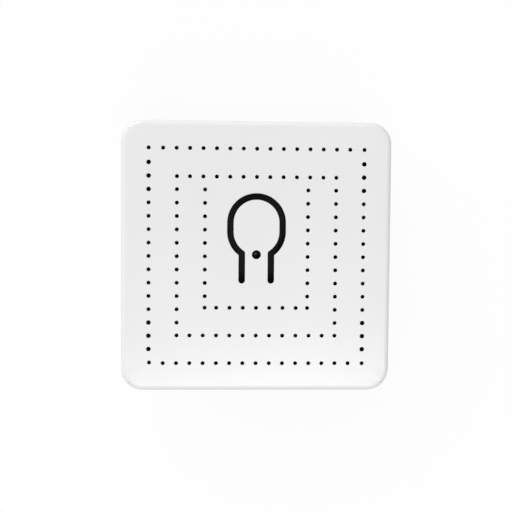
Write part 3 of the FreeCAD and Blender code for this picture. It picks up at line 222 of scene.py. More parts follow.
def mirrored(points):
    """The same points with left and right changed over, and their order turned round."""
    return [((-spot[0], spot[1]), (-way[0], way[1])) for spot, way in reversed(points)]


def keyhole(spread, neck_round):
    """The keyhole from its right foot round the head to its left foot, without the feet."""
    radius, leg = head_radius + spread, leg_half + spread
    neck_x = leg + neck_round
    neck_y = head_low - math.sqrt((radius + neck_round) ** 2 - neck_x ** 2)
    turn = math.degrees(math.atan2(head_low - neck_y, neck_x))
    side = straight((leg, root_y), (leg, neck_y), leg_steps, (1, 0))
    neck = arc((neck_x, neck_y), neck_round, 180, 180 - turn, 6, inwards=True)
    cheek = arc((0, head_low), radius, -turn, 0, 14)[1:]
    right = side + neck + cheek
    crown = arc((0, head_high), radius, 0, 180, 48)
    return right + crown + mirrored(right)


def rounded_square(half, corner):
    points = []
    for number, (way_x, way_y) in enumerate(((1, -1), (1, 1), (-1, 1), (-1, -1))):
        middle = ((half - corner) * way_x, (half - corner) * way_y)
        points += arc(middle, corner, 90 * number - 90, 90 * number, 14)
    return points


def vent_spots():
    """Centre and radius of each vent: two closed square rings, and one that is open at the top."""
    pitch, plain, wide, slip = 1.926, 0.29, 0.335, 0.1
    rings = (15.55, 11.5, 7.45)
    reach = [math.floor(ring / pitch - 0.5) for ring in rings]
    spots = []
    for ring, ends in zip(rings, reach):
        outermost, innermost = ring == rings[0], ring == rings[-1]
        rows = (-1,) if innermost else (-1, 1)
        spots += [(pitch * step, ring * row, plain) for step in range(-ends, ends + 1) for row in rows]
        low_left = slip - ring if outermost else -ring
        spots += [(low_left, low_left, plain), (ring, -ring, plain)]
        spots += [] if innermost else [(-ring, ring, plain), (ring, ring, plain)]
        for step in range(-ends, (reach[1] if innermost else ends) + 1):
            radius = wide if outermost and abs(step) >= reach[1] else plain
            spots += [(ring * side, pitch * step, radius) for side in (-1, 1)]
    return spots


def seed_mesh(name, loops, spots):
    """Closed loops of (kind, points) and single spots of (x, y, radius), as bare edges and vertices."""
    places, edges, kinds, pushes, radii = [], [], [], [], []
    for kind, points in loops:
        first = len(places)
        for number, (spot, way) in enumerate(points):
            places.append((spot[0] * mm, spot[1] * mm, 0))
            pushes += [*way, 0]
            edges.append((first + number, first + (number + 1) % len(points)))
        kinds += [kind] * len(points)
        radii += [0] * len(points)
    for x, y, radius in spots:
        places.append((x * mm, y * mm, 0))
        pushes += [0, 0, 0]
        kinds.append(VENT)
        radii.append(radius * mm)
    mesh = bpy.data.meshes.new(name)
    mesh.from_pydata(places, edges, [])
    mesh.attributes.new("kind", "INT", "POINT").data.foreach_set("value", kinds)
    mesh.attributes.new("radius", "FLOAT", "POINT").data.foreach_set("value", radii)
    mesh.attributes.new("push", "FLOAT_VECTOR", "POINT").data.foreach_set("vector", pushes)
    return mesh


def in_scene(name, data):
    holder = bpy.data.objects.new(name, data)
    bpy.context.scene.collection.objects.link(holder)
    return holder


def made_plain(holder):
    """The mesh that an object comes to. The object itself is removed."""
    ready = holder.evaluated_get(bpy.context.evaluated_depsgraph_get())
    mesh = bpy.data.meshes.new_from_object(ready)
    bpy.data.objects.remove(holder)
    return mesh


def grow(name, seed, sizes, finish, build):
    """Runs a Geometry Nodes tree on a seed mesh, and hands back the plain mesh. Its named sizes are
    in mm, and its whole numbers are counts."""
    tree = bpy.data.node_groups.new(name, "GeometryNodeTree")
    sockets = tree.interface
    named = {}

    def socket(label, kind):
        added = sockets.new_socket(label, in_out="INPUT", socket_type=f"NodeSocket{kind}")
        named[label] = added.identifier

    socket("Geometry", "Geometry")
    for label, value in sizes.items():
        socket(label, "Int" if isinstance(value, int) else "Float")
    socket("Finish", "Material")
    sockets.new_socket("Geometry", in_out="OUTPUT", socket_type="NodeSocketGeometry")
    graph = Graph(tree)
    start = graph.node("NodeGroupInput")
    plain = graph.node("GeometryNodeRealizeInstances", inputs={0: build(graph, start)})
    painted = graph.node("GeometryNodeSetMaterial", inputs={
        "Geometry": plain, "Material": start.out("Finish")})
    graph.node("NodeGroupOutput", inputs={0: painted})
    holder = in_scene(name, seed)
    modifier = holder.modifiers.new(name, "NODES")
    modifier.node_group = tree
    for label, value in sizes.items():
        modifier[named[label]] = value if isinstance(value, int) else value * mm
    modifier[named["Finish"]] = finish.material
    return made_plain(holder)


def lifted(graph, shape, height):
    return graph.node("GeometryNodeTransform", inputs={
        "Geometry": shape, "Translation": graph.xyz(Z=height)})


def noted(graph, label, kind="FLOAT_VECTOR"):
    return graph.node("GeometryNodeInputNamedAttribute", {"data_type": kind}, {"Name": label})


def joined(graph, *shapes):
    return graph.node("GeometryNodeJoinGeometry", inputs={0: list(reversed(shapes))})


def pierced_plate(edge):
    """A plate with holes, its top at a height. edge gives its outline's first inset, and then the
    steps that lead the outline down to the underside, each a move outwards and a move down."""

    def build(graph, start):
        seed, thick, lip = [start.out(name) for name in ("Geometry", "Thickness", "Edge Break")]

        def only(wanted):
            chosen = noted(graph, "kind", "INT").math("COMPARE", wanted, 0.1)
            return graph.node("GeometryNodeSeparateGeometry", {"domain": "POINT"},
                              {"Geometry": seed, "Selection": chosen})

        def note(mesh, label, value):
            kind = {"data_type": "FLOAT_VECTOR", "domain": "POINT"}
            return graph.node("GeometryNodeStoreNamedAttribute", kind,
                              {"Geometry": mesh, "Name": label, "Value": value})

        def spread(mesh, amount, selection=True):
            """Moves loops outwards, away from the middle of the outline or of their hole."""
            offset = graph.vector("SCALE", {0: noted(graph, "push"), "Scale": amount})
            return graph.node("GeometryNodeSetPosition", inputs={
                "Geometry": mesh, "Offset": offset, "Selection": selection})

        def led_down(mesh, steps):
            rim = True
            for outwards, down in steps:
                sockets = {"Mesh": mesh, "Selection": rim, "Offset": graph.xyz(Z=down * -1)}
                mesh = graph.node("GeometryNodeExtrudeMesh", {"mode": "EDGES"}, sockets)
                rim = mesh.out("Top")
                mesh = spread(mesh, outwards, rim)
            return mesh

        def filled(meshes, height):
            curves = [graph.node("GeometryNodeMeshToCurve", inputs={"Mesh": mesh}) for mesh in meshes]
            face = graph.node("GeometryNodeFillCurve", {"mode": "TRIANGLES"},
                              {"Curve": joined(graph, *curves)})
            return lifted(graph, face, height)

        here = graph.node("GeometryNodeInputPosition")
        circle = graph.node("GeometryNodeMeshCircle", {"fill_type": "NONE"},
                            {"Vertices": start.out("Vent Sides"), "Radius": 1.0})
        vents = graph.node("GeometryNodeInstanceOnPoints", inputs={
            "Points": note(only(VENT), "middle", here), "Instance": circle,
            "Scale": noted(graph, "radius", "FLOAT")})
        vents = graph.node("GeometryNodeRealizeInstances", inputs={0: vents})
        spoke = graph.vector("SUBTRACT", {0: here, 1: noted(graph, "middle")})
        vents = note(vents, "push", graph.vector("NORMALIZE", {0: spoke}))
        holes, outline = joined(graph, vents, only(HOLE)), only(OUTLINE)

        inset, steps = edge(start)
        reach = inset * -1
        for outwards, down in steps:
            reach = reach + outwards
        hole_tops, outline_top = spread(holes, lip), spread(outline, inset * -1)
        whole = joined(
            graph, filled([hole_tops, outline_top], 0.0),
            led_down(hole_tops, [(lip * -1, lip), (0.0, thick - lip)]), led_down(outline_top, steps),
            filled([holes, spread(outline, reach)], thick * -1))
        whole = graph.node("GeometryNodeMergeByDistance", inputs={
            "Geometry": whole, "Distance": 0.002 * mm})
        return lifted(graph, whole, start.out("Height"))

    return build


def cover_edge(start):
    """Rounded edge, skirt, bevel at the seam, and the inside of the wall up to the underside."""
    names = ("Edge Round", "Seam Bevel", "Wall", "Skirt", "Thickness")
    rounding, bevel, wall, skirt, thick = [start.out(name) for name in names]
    turns = [math.radians(90 * number / 9) for number in range(10)]
    steps = [(rounding * (math.sin(after) - math.sin(before)),
              rounding * (math.cos(before) - math.cos(after)))
             for before, after in zip(turns, turns[1:])]
    steps += [(0.0, skirt - rounding - bevel), (bevel * -1, bevel), (bevel - wall, 0.0),
              (0.0, thick - skirt)]
    return rounding, steps


placed_along = {"z": lambda a, b, c: (a, b, c), "y": lambda a, b, c: (a, c, b),
                "x": lambda a, b, c: (c, a, b)}


def prism(shape, outline, low, high, axis="z"):
    """Adds a straight bar to a bmesh: an anticlockwise outline, drawn out along an axis."""
    place = placed_along[axis]
    bottom, top = [[shape.verts.new(Vector(place(a, b, level)) * mm) for a, b in outline]
                   for level in (low, high)]
    faces = [shape.faces.new(bottom), shape.faces.new(top)]
    for number in range(len(outline)):
        corners = (bottom[number - 1], bottom[number], top[number], top[number - 1])
        faces.append(shape.faces.new(corners))
    bmesh.ops.recalc_face_normals(shape, faces=faces)
    return faces


def block(shape, x, y, z):
    return prism(shape, [(x[0], y[0]), (x[1], y[0]), (x[1], y[1]), (x[0], y[1])], *z)


def mesh_of(shape, name):
    """The mesh of a bmesh, which is then freed."""
    mesh = bpy.data.meshes.new(name)
    shape.to_mesh(mesh)
    shape.free()
    return mesh


def settle(name, shape, finish, slot, *replaced, body="root", crease=35, live=False):
    """Makes a finished object of a mesh or bmesh, and has it ride on its body."""
    mesh = mesh_of(shape, name) if isinstance(shape, bmesh.types.BMesh) else shape
    mesh.name = name
    mesh.materials.clear()
    mesh.materials.append(finish.material)
    mesh.shade_smooth()
    mesh.set_sharp_from_angle(angle=math.radians(crease))
    piece = in_scene(name, mesh)
    if not live:
        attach(piece, body)
    if replaced:
        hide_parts(*replaced)
    return piece


def even_faces(piece):
    """Keeps large flat faces flat next to small rounded ones."""
    piece.modifiers.new("even_faces", "WEIGHTED_NORMAL").keep_sharp = True


def sealed(shape):
    """Merges the doubles of a bmesh and turns its faces outwards."""
    bmesh.ops.remove_doubles(shape, verts=shape.verts, dist=0.0005 * mm)
    bmesh.ops.recalc_face_normals(shape, faces=shape.faces)
    return shape


def started(mesh):
    shape = bmesh.new()
    shape.from_mesh(mesh)
    return sealed(shape)


neck_half = leg_half - slot_half
root_line = straight((-neck_half, root_y), (neck_half, root_y), root_steps, (0, 0))
foot_right, foot_left = [arc((leg_half * side, root_y), slot_half, 180, 360, foot_steps)
                         for side in (1, -1)]
slot_loop = foot_right + keyhole(slot_half, slot_neck_round) + foot_left + root_line
case_loop = rounded_square(case_half, case_corner)
cover_seed = seed_mesh("cover_lines", [(HOLE, slot_loop), (OUTLINE, case_loop)], vent_spots())
cover_shape = started(grow("front_cover_vents", cover_seed, {
    "Height": face_top, "Thickness": face_top - face_inside, "Edge Break": edge_break,
    "Edge Round": face_round, "Seam Bevel": seam_bevel, "Wall": case_wall,
    "Skirt": face_top - seam, "Vent Sides": 20}, shell_white, pierced_plate(cover_edge)))
rib_outer, rib_top = inner_half + rooted, face_inside + rooted
for side in (-1, 1):
    for step in (-1, 0, 1):
        block(cover_shape, sorted((rib_inner * side, rib_outer * side)),
              (rib_step * step - rib_half, rib_step * step + rib_half), (board_top, rib_top))
    for way in (-1, 1):
        hook = [(hook_inner, hook_low), (hook_inner + 0.25, hook_low), (hook_outer - 0.15, hook_low),
                (catch_out, catch_high - 0.35), (catch_out, catch_high), (hook_outer, catch_high),
                (hook_outer, seam + 0.1), (rib_outer, seam + 0.45), (rib_outer, rib_top),
                (hook_inner, rib_top)]
        prism(cover_shape, [(x * side, z) for x, z in hook],
              hook_step * way - hook_half, hook_step * way + hook_half, "y")
even_faces(settle("front_cover_moulding", cover_shape, shell_white, "white_shell", "front_cover"))


# Push tab
# A keyhole shaped tongue of the same moulding. It is joined to the face only along the line between
# the feet of the slot, where it flexes. It has the light hole, and a post that meets the push switch.

tab_low, tab_neck_round, flex_end = 16.8, 0.4, -2.0
light_y, light_radius = 0.274, 0.65
switch_y, post_radius, post_low, post_flare = 4.3, 1.3, 16.05, 1.5


def tab_edge(start):
    lip = start.out("Edge Break")
    return lip, [(lip, lip), (0.0, start.out("Thickness") - lip)]


def turned(shape, profile, middle, sides=32, axis="z"):
    """Adds a lathe turned solid to a bmesh. The profile gives radius and height, from pole to pole."""
    place = placed_along[axis]
    rings = []
    for radius, height in profile:
        turns = [math.tau * number / sides for number in range(sides if radius else 1)]
        spots = [place(radius * math.cos(turn), radius * math.sin(turn), height) for turn in turns]
        rings.append([shape.verts.new((Vector(spot) + Vector(middle)) * mm) for spot in spots])
    faces = []
    for low, high in zip(rings, rings[1:]):
        for number in range(sides):
            corners = [low[number - 1], low[number]] if len(low) > 1 else [low[0]]
            corners += [high[number], high[number - 1]] if len(high) > 1 else [high[0]]
            if len(corners) > 2:
                faces.append(shape.faces.new(corners))
    bmesh.ops.recalc_face_normals(shape, faces=faces)
    return faces


right_end, left_end = [((neck_half * side, root_y), (side, 0)) for side in (1, -1)]
tab_loop = [right_end] + keyhole(-slot_half, tab_neck_round) + [left_end] + root_line
tab_seed = seed_mesh("tab_lines", [(OUTLINE, tab_loop)], [(0, light_y, light_radius)])
tab_shape = started(grow("push_tab_plate", tab_seed, {
    "Height": face_top, "Thickness": face_top - tab_low, "Edge Break": edge_break,
    "Vent Sides": 40}, shell_white, pierced_plate(tab_edge)))
turned(tab_shape, [(0, post_low), (post_radius - 0.15, post_low), (post_radius, post_low + 0.15),
                   (post_radius, tab_low - 0.2), (post_flare, tab_low), (post_flare, tab_low + 0.3),
                   (0, tab_low + 0.3)], (0, switch_y, 0))
tab = settle("push_tab_tongue", tab_shape, shell_white, "white_shell", "push_tab", live=True)
even_faces(tab)
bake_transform(tab)


# Base shell
# The deep half of the case, moulded in the same white plastic. It holds everything else, and has the
# wire entries in one side, the screwdriver holes and a shallow recess for the label in its floor.

def dress(finish, *names):
    """Gives CAD nodes their finish."""
    for name in names:
        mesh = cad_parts[name].data
        mesh.materials.clear()
        mesh.materials.append(finish.material)


dress(shell_white, "base_shell")


# Label
# A blank matt film glued in the recess. It is printed with a thin frame, a plain number beside each
# of the five screws, and nothing else.

label_low, label_y, label_half_x, label_half_y = 0.08, 5.6, 15.5, 11.0
frame_inset, frame_half_line = 1.1, 0.07
number_y, number_size, tick_y, tick_half, ink, proud = -1.2, 3.0, (-4.4, -3.75), 0.08, 0.004, 0.001
pole_pitch, pole_count, screw_y = 6.8, 5, -15.1
pole_x = [pole_pitch * (number - (pole_count - 1) / 2) for number in range(pole_count)]


def label_film():
    paint = Finish("label_film")
    fibres = paint.noise(0.35, 5, (1, 2.5, 1))
    side = abs(paint.x) - (label_half_x - frame_inset) * mm
    end = abs(paint.y - label_y * mm) - (label_half_y - frame_inset) * mm
    border = abs(side.math("MAXIMUM", end)) < frame_half_line * mm
    paper = paint.blend(paint.clouds(5), (0.66, 0.67, 0.68), (0.72, 0.73, 0.735))
    colour = paint.blend(border, paper, (0.12, 0.12, 0.13))
    return paint.surface(colour, 0.55 + fibres * 0.15, fibres, 0.006)


def grained(name, size, detail, first, second, rough, rise, relief, spread=(0.3, 0.7),
            stretch=None, **more):
    """A finish with one pattern, which drifts from one colour to another, roughens and stands out.
    spread gives the two values of its noise that become 0 and 1. None leaves the noise as it is."""
    paint = Finish(name)
    grain = paint.noise(size, detail, stretch)
    if spread:
        grain = paint.between(grain, *spread)
    return paint.surface(paint.blend(grain, first, second), rough + grain * rise, grain, relief, **more)


dress(label_film(), "back_label")
numbers = bmesh.new()
tick_z = (label_low - ink * 2 - proud, label_low - proud)
for number, x in enumerate(pole_x, start=1):
    letters = bpy.data.curves.new(f"number_{number}", "FONT")
    letters.body = str(number)
    letters.size = number_size * mm
    letters.align_x = "CENTER"
    letters.extrude = ink * mm
    drawn = made_plain(in_scene(f"number_{number}", letters))
    spot = Matrix.Translation(Vector((x, number_y, label_low - ink - proud)) * mm)
    drawn.transform(spot @ Matrix.Rotation(math.pi, 4, "X"))
    numbers.from_mesh(drawn)
    block(numbers, (x - tick_half, x + tick_half), tick_y, tick_z)
bmesh.ops.remove_doubles(numbers, verts=numbers.verts, dist=0.0001 * mm)
settle("label_numbers", numbers, grained(
    "printing_ink", 0.12, 4, (0.025, 0.025, 0.028), (0.06, 0.06, 0.065), rough=0.5, rise=0.2,
    relief=0.002, spread=(0.35, 0.65)), "label_film")


# Terminal housing and tags
# One row of five cells in dark glass filled polyamide holds the clamps. A flat bronze tag, tinned
# where it is soldered, hangs from the board into each cage.

tin_plate, tin_start, tin_full = (0.62, 0.62, 0.60), 12.2, 12.9


def contact_bronze():
    paint = Finish("contact_bronze")
    rolled = paint.noise(0.12, 3, (1, 12, 1))
    dipped = paint.between(paint.z, tin_start * mm, tin_full * mm)
    metal = paint.blend(paint.clouds(1.5, low=0.35, high=0.65), (0.62, 0.42, 0.20), (0.72, 0.52, 0.28))
    colour = paint.blend(dipped, metal, tin_plate)
    return paint.surface(colour, 0.28 + rolled * 0.15, rolled, 0.002, Metallic=1.0)


bronze = contact_bronze()
dress(bronze, "terminal_tags")
dress(grained("terminal_grey", 0.2, 4, (0.022, 0.024, 0.026), (0.045, 0.048, 0.052), rough=0.42,
              rise=0.2, relief=0.006, spread=(0.45, 0.7), stretch=(1, 1, 4)), "terminal_housing")


# Clamp screws and cages
# Each zinc plated screw has a slotted pan head towards the label face and turns in the threaded foot
# of a folded steel cage, which then rises and presses the wire on its tag.

screw_low, screw_head, screw_head_top, screw_tip, screw_core = 2.4, 2.1, 4.0, 7.1, 1.25
driver_wide, driver_deep, thread_low, thread_pitch, thread_turns = 0.7, 0.8, 4.25, 0.5, 5


def streaked(name, cloud, streak, first, second, rough, rise, relief, sheen=None, **more):
    """A finish that clouds from one colour to another, under fine streaks that stand out. cloud
    gives a size and a detail, and streak may add a stretch. sheen and rise say how much the clouds
    and the streaks roughen it."""
    paint = Finish(name)
    clouds, streaks = paint.clouds(*cloud), paint.noise(*streak)
    roughness = rough + streaks * rise
    if sheen:
        roughness = roughness + clouds * sheen
    return paint.surface(paint.blend(clouds, first, second), roughness, streaks, relief, **more)


def wound(graph, turns, steps, radius, height, sides, thick):
    """A bar of a few sides that winds upwards, with so many steps to each turn."""
    spiral = graph.node("GeometryNodeCurveSpiral", inputs={
        "Resolution": steps, "Rotations": turns, "Start Radius": radius, "End Radius": radius,
        "Height": height})
    profile = graph.node("GeometryNodeCurvePrimitiveCircle", {"mode": "RADIUS"},
                         {"Resolution": sides, "Radius": thick})
    return graph.node("GeometryNodeCurveToMesh", inputs={
        "Curve": spiral, "Profile Curve": profile, "Fill Caps": True})


def threaded_screw(graph, start):
    """A turned pan head and core, less its slot, with a thread wound round the core."""
    core, pitch, turns = start.out("Core Radius"), start.out("Pitch"), start.out("Turns")
    thread = wound(graph, turns, steps=24, radius=core, height=turns * pitch, sides=4,
                   thick=pitch * 0.42)
    size = graph.xyz(X=start.out("Head Radius") * 3, Y=start.out("Slot Width"),
                     Z=start.out("Slot Depth") * 2)
    blade = lifted(graph, graph.node("GeometryNodeMeshCube", inputs={"Size": size}),
                   start.out("Head Low"))
    slotted = graph.node("GeometryNodeMeshBoolean", {"operation": "DIFFERENCE", "solver": "EXACT"},
                         {"Mesh 1": start.out("Geometry"), "Mesh 2": blade})
    return joined(graph, lifted(graph, thread, start.out("Thread Low")), slotted)


blank = bmesh.new()
turned(blank, [(0, screw_low), (1.5, screw_low), (1.85, screw_low + 0.06), (2.03, screw_low + 0.2),
               (screw_head, screw_low + 0.45), (screw_head, screw_head_top - 0.1),
               (screw_head - 0.1, screw_head_top), (screw_core, screw_head_top),
               (screw_core, screw_tip - 0.3), (screw_core - 0.3, screw_tip), (0, screw_tip)],
       (0, 0, 0), sides=40)
zinc = streaked("zinc_steel", (0.5, 3), (0.08, 4, (1, 1, 8)), (0.56, 0.57, 0.60),
                (0.70, 0.71, 0.72), rough=0.22, rise=0.16, relief=0.003, sheen=0.06, Metallic=1.0)
screw_mesh = grow("clamp_screw_thread", mesh_of(blank, "screw_blank"), {
    "Head Radius": screw_head, "Core Radius": screw_core, "Pitch": thread_pitch,
    "Turns": thread_turns, "Thread Low": thread_low, "Head Low": screw_low,
    "Slot Width": driver_wide, "Slot Depth": driver_deep}, zinc, threaded_screw)
for number, x in enumerate(pole_x, start=1):
    mesh = screw_mesh.copy()
    mesh.transform(Matrix.Translation(Vector((x, screw_y, 0)) * mm))
    settle(f"terminal_screw_{number}", mesh, zinc, "zinc_steel", f"clamp_screw_{number}",
           body=f"screw_{number}")
    dress(zinc, f"clamp_cage_{number}")


# Main board
# A glass epoxy board under black solder resist, with tracks that show faintly through it. Each pin
# and lead comes through a hole and stands in a cone of solder on the upper side.

board_low = 13.3
tag_y, relay_y, contact_y = -12.5, 10.4, 14.8
coil_pin_x, coil_pin_half, armature_pin_x, contact_x = -13.9, 2.5, -15.2, 0.5
lead_half = 1.25
tag_joint, pin_joint, blade_joint, lead_joint = 1.35, 0.9, 1.1, 0.72
two_leaded = [(8.9, 4.8), (12.65, -6.05), (-12.2, -6.6), (-3.17, -6.6)]
fuse_ends, fuse_y = (-15.65, -4.75), -0.6
joints_at = [(x, tag_y, tag_joint) for x in pole_x]
joints_at += [(coil_pin_x, relay_y + coil_pin_half * side, pin_joint) for side in (-1, 1)]
joints_at += [(armature_pin_x, relay_y, blade_joint), (contact_x, contact_y, blade_joint)]
joints_at += [(x + lead_half * side, y, lead_joint) for x, y in two_leaded for side in (-1, 1)]
joints_at += [(x, fuse_y, lead_joint) for x in fuse_ends]


def board_black():
    paint = Finish("board_resist")
    patch = paint.noise(5, 1) > 0.5
    lines_x, lines_y = [(axis / (0.9 * mm)).math("FRACT") < 0.45 for axis in (paint.x, paint.y)]
    tracks = (lines_x * patch + lines_y * (1 - patch)) * (paint.noise(3, 1) > 0.45)
    weave = paint.noise(0.25, 2, (1, 1, 0.2))
    laminate = abs(paint.z - (board_low + board_top) / 2 * mm) < 0.57 * mm
    resist = paint.blend(tracks, (0.003, 0.003, 0.004), (0.007, 0.0065, 0.009))
    edge = paint.blend(weave, (0.10, 0.085, 0.04), (0.18, 0.15, 0.08))
    relief = tracks * 0.8 + weave * 0.2
    return paint.surface(paint.blend(laminate, resist, edge), 0.42 + weave * 0.2, relief, 0.03,
                         **{"Specular IOR Level": 0.3})


def solder_cones(graph, start):
    """A hollow sided cone of solder at each spot."""
    radius, tall = start.out("Foot Radius"), start.out("Height")
    cone = graph.node("GeometryNodeMeshCone", inputs={
        "Vertices": 16, "Side Segments": 5, "Fill Segments": 1, "Radius Top": radius * 0.45,
        "Radius Bottom": radius, "Depth": tall})
    here = graph.node("GeometryNodeInputPosition")
    up = graph.node("ShaderNodeSeparateXYZ", inputs={0: here}).out("Z") / tall
    waist = 1 - up * (1 - up) * 1.1
    curved = graph.vector("MULTIPLY", {0: here, 1: graph.xyz(X=waist, Y=waist, Z=1.0)})
    cone = graph.node("GeometryNodeSetPosition", inputs={"Geometry": cone, "Position": curved})
    return graph.node("GeometryNodeInstanceOnPoints", inputs={
        "Points": start.out("Geometry"), "Instance": cone, "Scale": noted(graph, "size", "FLOAT")})


joint_mesh = bpy.data.meshes.new("solder_spots")
joint_mesh.from_pydata([(x * mm, y * mm, board_top * mm) for x, y, size in joints_at], [], [])
joint_sizes = joint_mesh.attributes.new("size", "FLOAT", "POINT")
joint_sizes.data.foreach_set("value", [size for x, y, size in joints_at])
tin = streaked("tinned_steel", (0.9, 2), (0.07, 3, (1, 1, 9)), (0.58, 0.58, 0.57),
               (0.72, 0.72, 0.70), rough=0.24, rise=0.14, relief=0.002, sheen=0.06, Metallic=1.0)
solder = grow("solder_joints", joint_mesh, {"Foot Radius": 0.8, "Height": 0.42}, tin, solder_cones)
settle("solder_joints", started(solder), tin, "tinned_steel", crease=60)
resist = board_black()
dress(resist, "circuit_board")


# Radio board
# A small board on edge below the main board. It has a zigzag aerial at one end and a row of solder
# fillets along its upper edge, and carries the radio chip under a drawn tinplate can.

board_near, board_far, radio_low, radio_start, radio_end = 15.9, 16.7, 3.0, 0.8, 16.4
can_x, can_y, can_z = (14.0, 15.9), (3.1, 14.1), (3.95, 12.35)
can_round, can_sheet = 0.35, 0.2
aerial_low, aerial_y, aerial_wide, aerial_step, aerial_legs = 0.5, (14.45, 16.1), 0.28, 0.95, 9
foil = 0.04
pad_count, pad_first, pad_pitch, pad_half = 8, 1.3, 1.7, 0.4
chip_x, chip_y, chip_z, stand_off = (15.05, 15.9), (6.1, 11.1), (5.65, 10.65), 0.04
foot_count, foot_pitch, foot_wide, foot_deep, foot_tall = 9, 0.5, 0.26, 0.4, 0.2
spot_in, spot_radius = 0.6, 0.22


def softened(shape, x, y, z, soft, open_side=None):
    """Adds a block with rounded edges to a bmesh. open_side is the direction of a side to leave off."""
    faces = block(shape, x, y, z)
    gone = [face for face in faces if open_side and face.normal.dot(Vector(open_side)) > 0.9]
    rim = {edge for face in gone for edge in face.edges}
    edges = dict.fromkeys(edge for face in faces for edge in face.edges if edge not in rim)
    bmesh.ops.delete(shape, geom=gone, context="FACES_ONLY")
    bmesh.ops.bevel(shape, geom=list(edges), offset=soft * mm, segments=3, profile=0.5, affect="EDGES")


small_board = bmesh.new()
softened(small_board, (board_near, board_far - 0.03), (radio_start, radio_end),
         (radio_low, board_low), soft=0.05)
settle("radio_board_plate", small_board, resist, "board_black", "radio_board")

aerial = bmesh.new()
on_face = (board_far - foil, board_far)
for number in range(aerial_legs):
    level = radio_low + aerial_low + aerial_step * number
    block(aerial, on_face, aerial_y, (level, level + aerial_wide))
    if number:
        turn_y = aerial_y[number % 2]
        turn_low = turn_y if number % 2 == 0 else turn_y - aerial_wide
        block(aerial, on_face, (turn_low, turn_low + aerial_wide),
              (level - aerial_step, level + aerial_wide))
settle("radio_aerial", aerial, grained(
    "plated_copper", 0.15, 3, (0.52, 0.30, 0.13), (0.66, 0.42, 0.20), rough=0.3, rise=0.15,
    relief=0.002, Metallic=1.0), "contact_bronze")

pads = bmesh.new()
for number in range(pad_count):
    pad_y = radio_start + pad_first + pad_pitch * number
    fillet = [(board_far - foil, board_low - 0.9), (board_far + 0.14, board_low - 0.45),
              (board_far + 0.34, board_low - 0.16), (board_far + 0.7, board_low - 0.02),
              (board_far + 0.7, board_low), (board_far - foil, board_low)]
    prism(pads, fillet, pad_y - pad_half, pad_y + pad_half, "y")
settle("radio_solder", pads, tin, "tinned_steel")

lid = bmesh.new()
softened(lid, can_x, can_y, can_z, can_round, (1, 0, 0))
can = settle("radio_can_shell", lid, tin, "tinned_steel", "radio_can")
can.modifiers.new("sheet", "SOLIDIFY").thickness = can_sheet * mm


def epoxy(name, first=(0.016, 0.016, 0.018), second=(0.030, 0.030, 0.032)):
    """What a chip's finish starts from: its material, the grain of its filler, and its black."""
    paint = Finish(name)
    filler = paint.clouds(0.09, 4, 0.35, 0.65)
    return paint, filler, paint.blend(filler, first, second)


def tinned(paint, lead, colour, roughness, relief, depth, tin=(0.66, 0.66, 0.65)):
    """The finished material, which is bare tin where lead is 1."""
    colour = paint.blend(lead, colour, tin)
    return paint.surface(colour, roughness, relief, depth, Metallic=lead)


def footed_epoxy():
    """Chip epoxy with a pale spot at one corner, and tinned feet."""
    paint, filler, black = epoxy("radio_epoxy")
    spot = (chip_x[0], chip_y[0] + spot_in, chip_z[1] - spot_in)
    away = paint.vector("DISTANCE", {0: paint.place, 1: tuple(v * mm for v in spot)}, out=1)
    marked = paint.blend(away < spot_radius * mm, black, (0.11, 0.11, 0.11))
    foot = paint.x > (foot_x[0] - 0.01) * mm
    return tinned(paint, foot, marked, 0.5 + filler * 0.15, filler, 0.004, tin_plate)


chip_parts = bmesh.new()
foot_x = (chip_x[1] - foot_tall, chip_x[1])
for number in range(foot_count):
    away = foot_pitch * (number + 1) - foot_wide / 2
    across_y, across_z = [(low + away, low + away + foot_wide) for low in (chip_y[0], chip_z[0])]
    for side, inwards in ((0, foot_deep), (1, -foot_deep)):
        block(chip_parts, foot_x, sorted((chip_y[side], chip_y[side] + inwards)), across_z)
        block(chip_parts, foot_x, across_y, sorted((chip_z[side], chip_z[side] + inwards)))
softened(chip_parts, (chip_x[0], chip_x[1] - stand_off), (chip_y[0] + 0.05, chip_y[1] - 0.05),
         (chip_z[0] + 0.05, chip_z[1] - 0.05), soft=0.06)
settle("radio_chip_package", chip_parts, footed_epoxy(), "chip_black", "radio_chip")


# Push switch and status light
# The tab's post presses the black plunger, which snaps a spring dome in the switch body through. A
# small light on a pale foot sits under the light hole, its lens painted near black as painted shade.

lens_start, lens_full = 14.72, 14.80
light_long, light_wide, light_tall, light_base, lens_long = 1.6, 0.8, 0.6, 0.25, 1.1


def moulded_black(name, pale):
    return grained(name, 0.14, 3, (pale * 0.7, pale * 0.7, pale * 0.72), (pale, pale, pale * 1.04),
                   rough=0.34, rise=0.14, relief=0.004)


def light_lens():
    paint = Finish("light_lens")
    lens = paint.between(paint.z, lens_start * mm, lens_full * mm)
    lens_clouds = paint.clouds(0.25)
    # Painted shade: the lens is near black for the shade under the light hole, where a plain lens would
    # be pale.
    shaded_lens = paint.blend(lens_clouds, (0.012, 0.012, 0.015), (0.026, 0.026, 0.031))
    colour = paint.blend(lens, (0.60, 0.60, 0.58), shaded_lens)
    return paint.surface(colour, 0.35 - lens * 0.23, lens_clouds, 0.002)


paint, filler, black = epoxy("chip_epoxy")
dress(paint.surface(black, 0.5 + filler * 0.15, filler, 0.004), "switch_base")
dress(tin, "switch_frame")
dress(moulded_black("plunger_black", 0.030), "switch_plunger")
spring = grained("spring_steel", 0.05, 3, (0.52, 0.52, 0.53), (0.66, 0.66, 0.66), rough=0.16,
                 rise=0.12, relief=0.001, spread=None, stretch=(1, 10, 1), Metallic=1.0)
snap_dome = settle("switch_snap_dome", started(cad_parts["switch_dome"].data), spring,
                   "spring_steel", "switch_dome")
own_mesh(snap_dome)

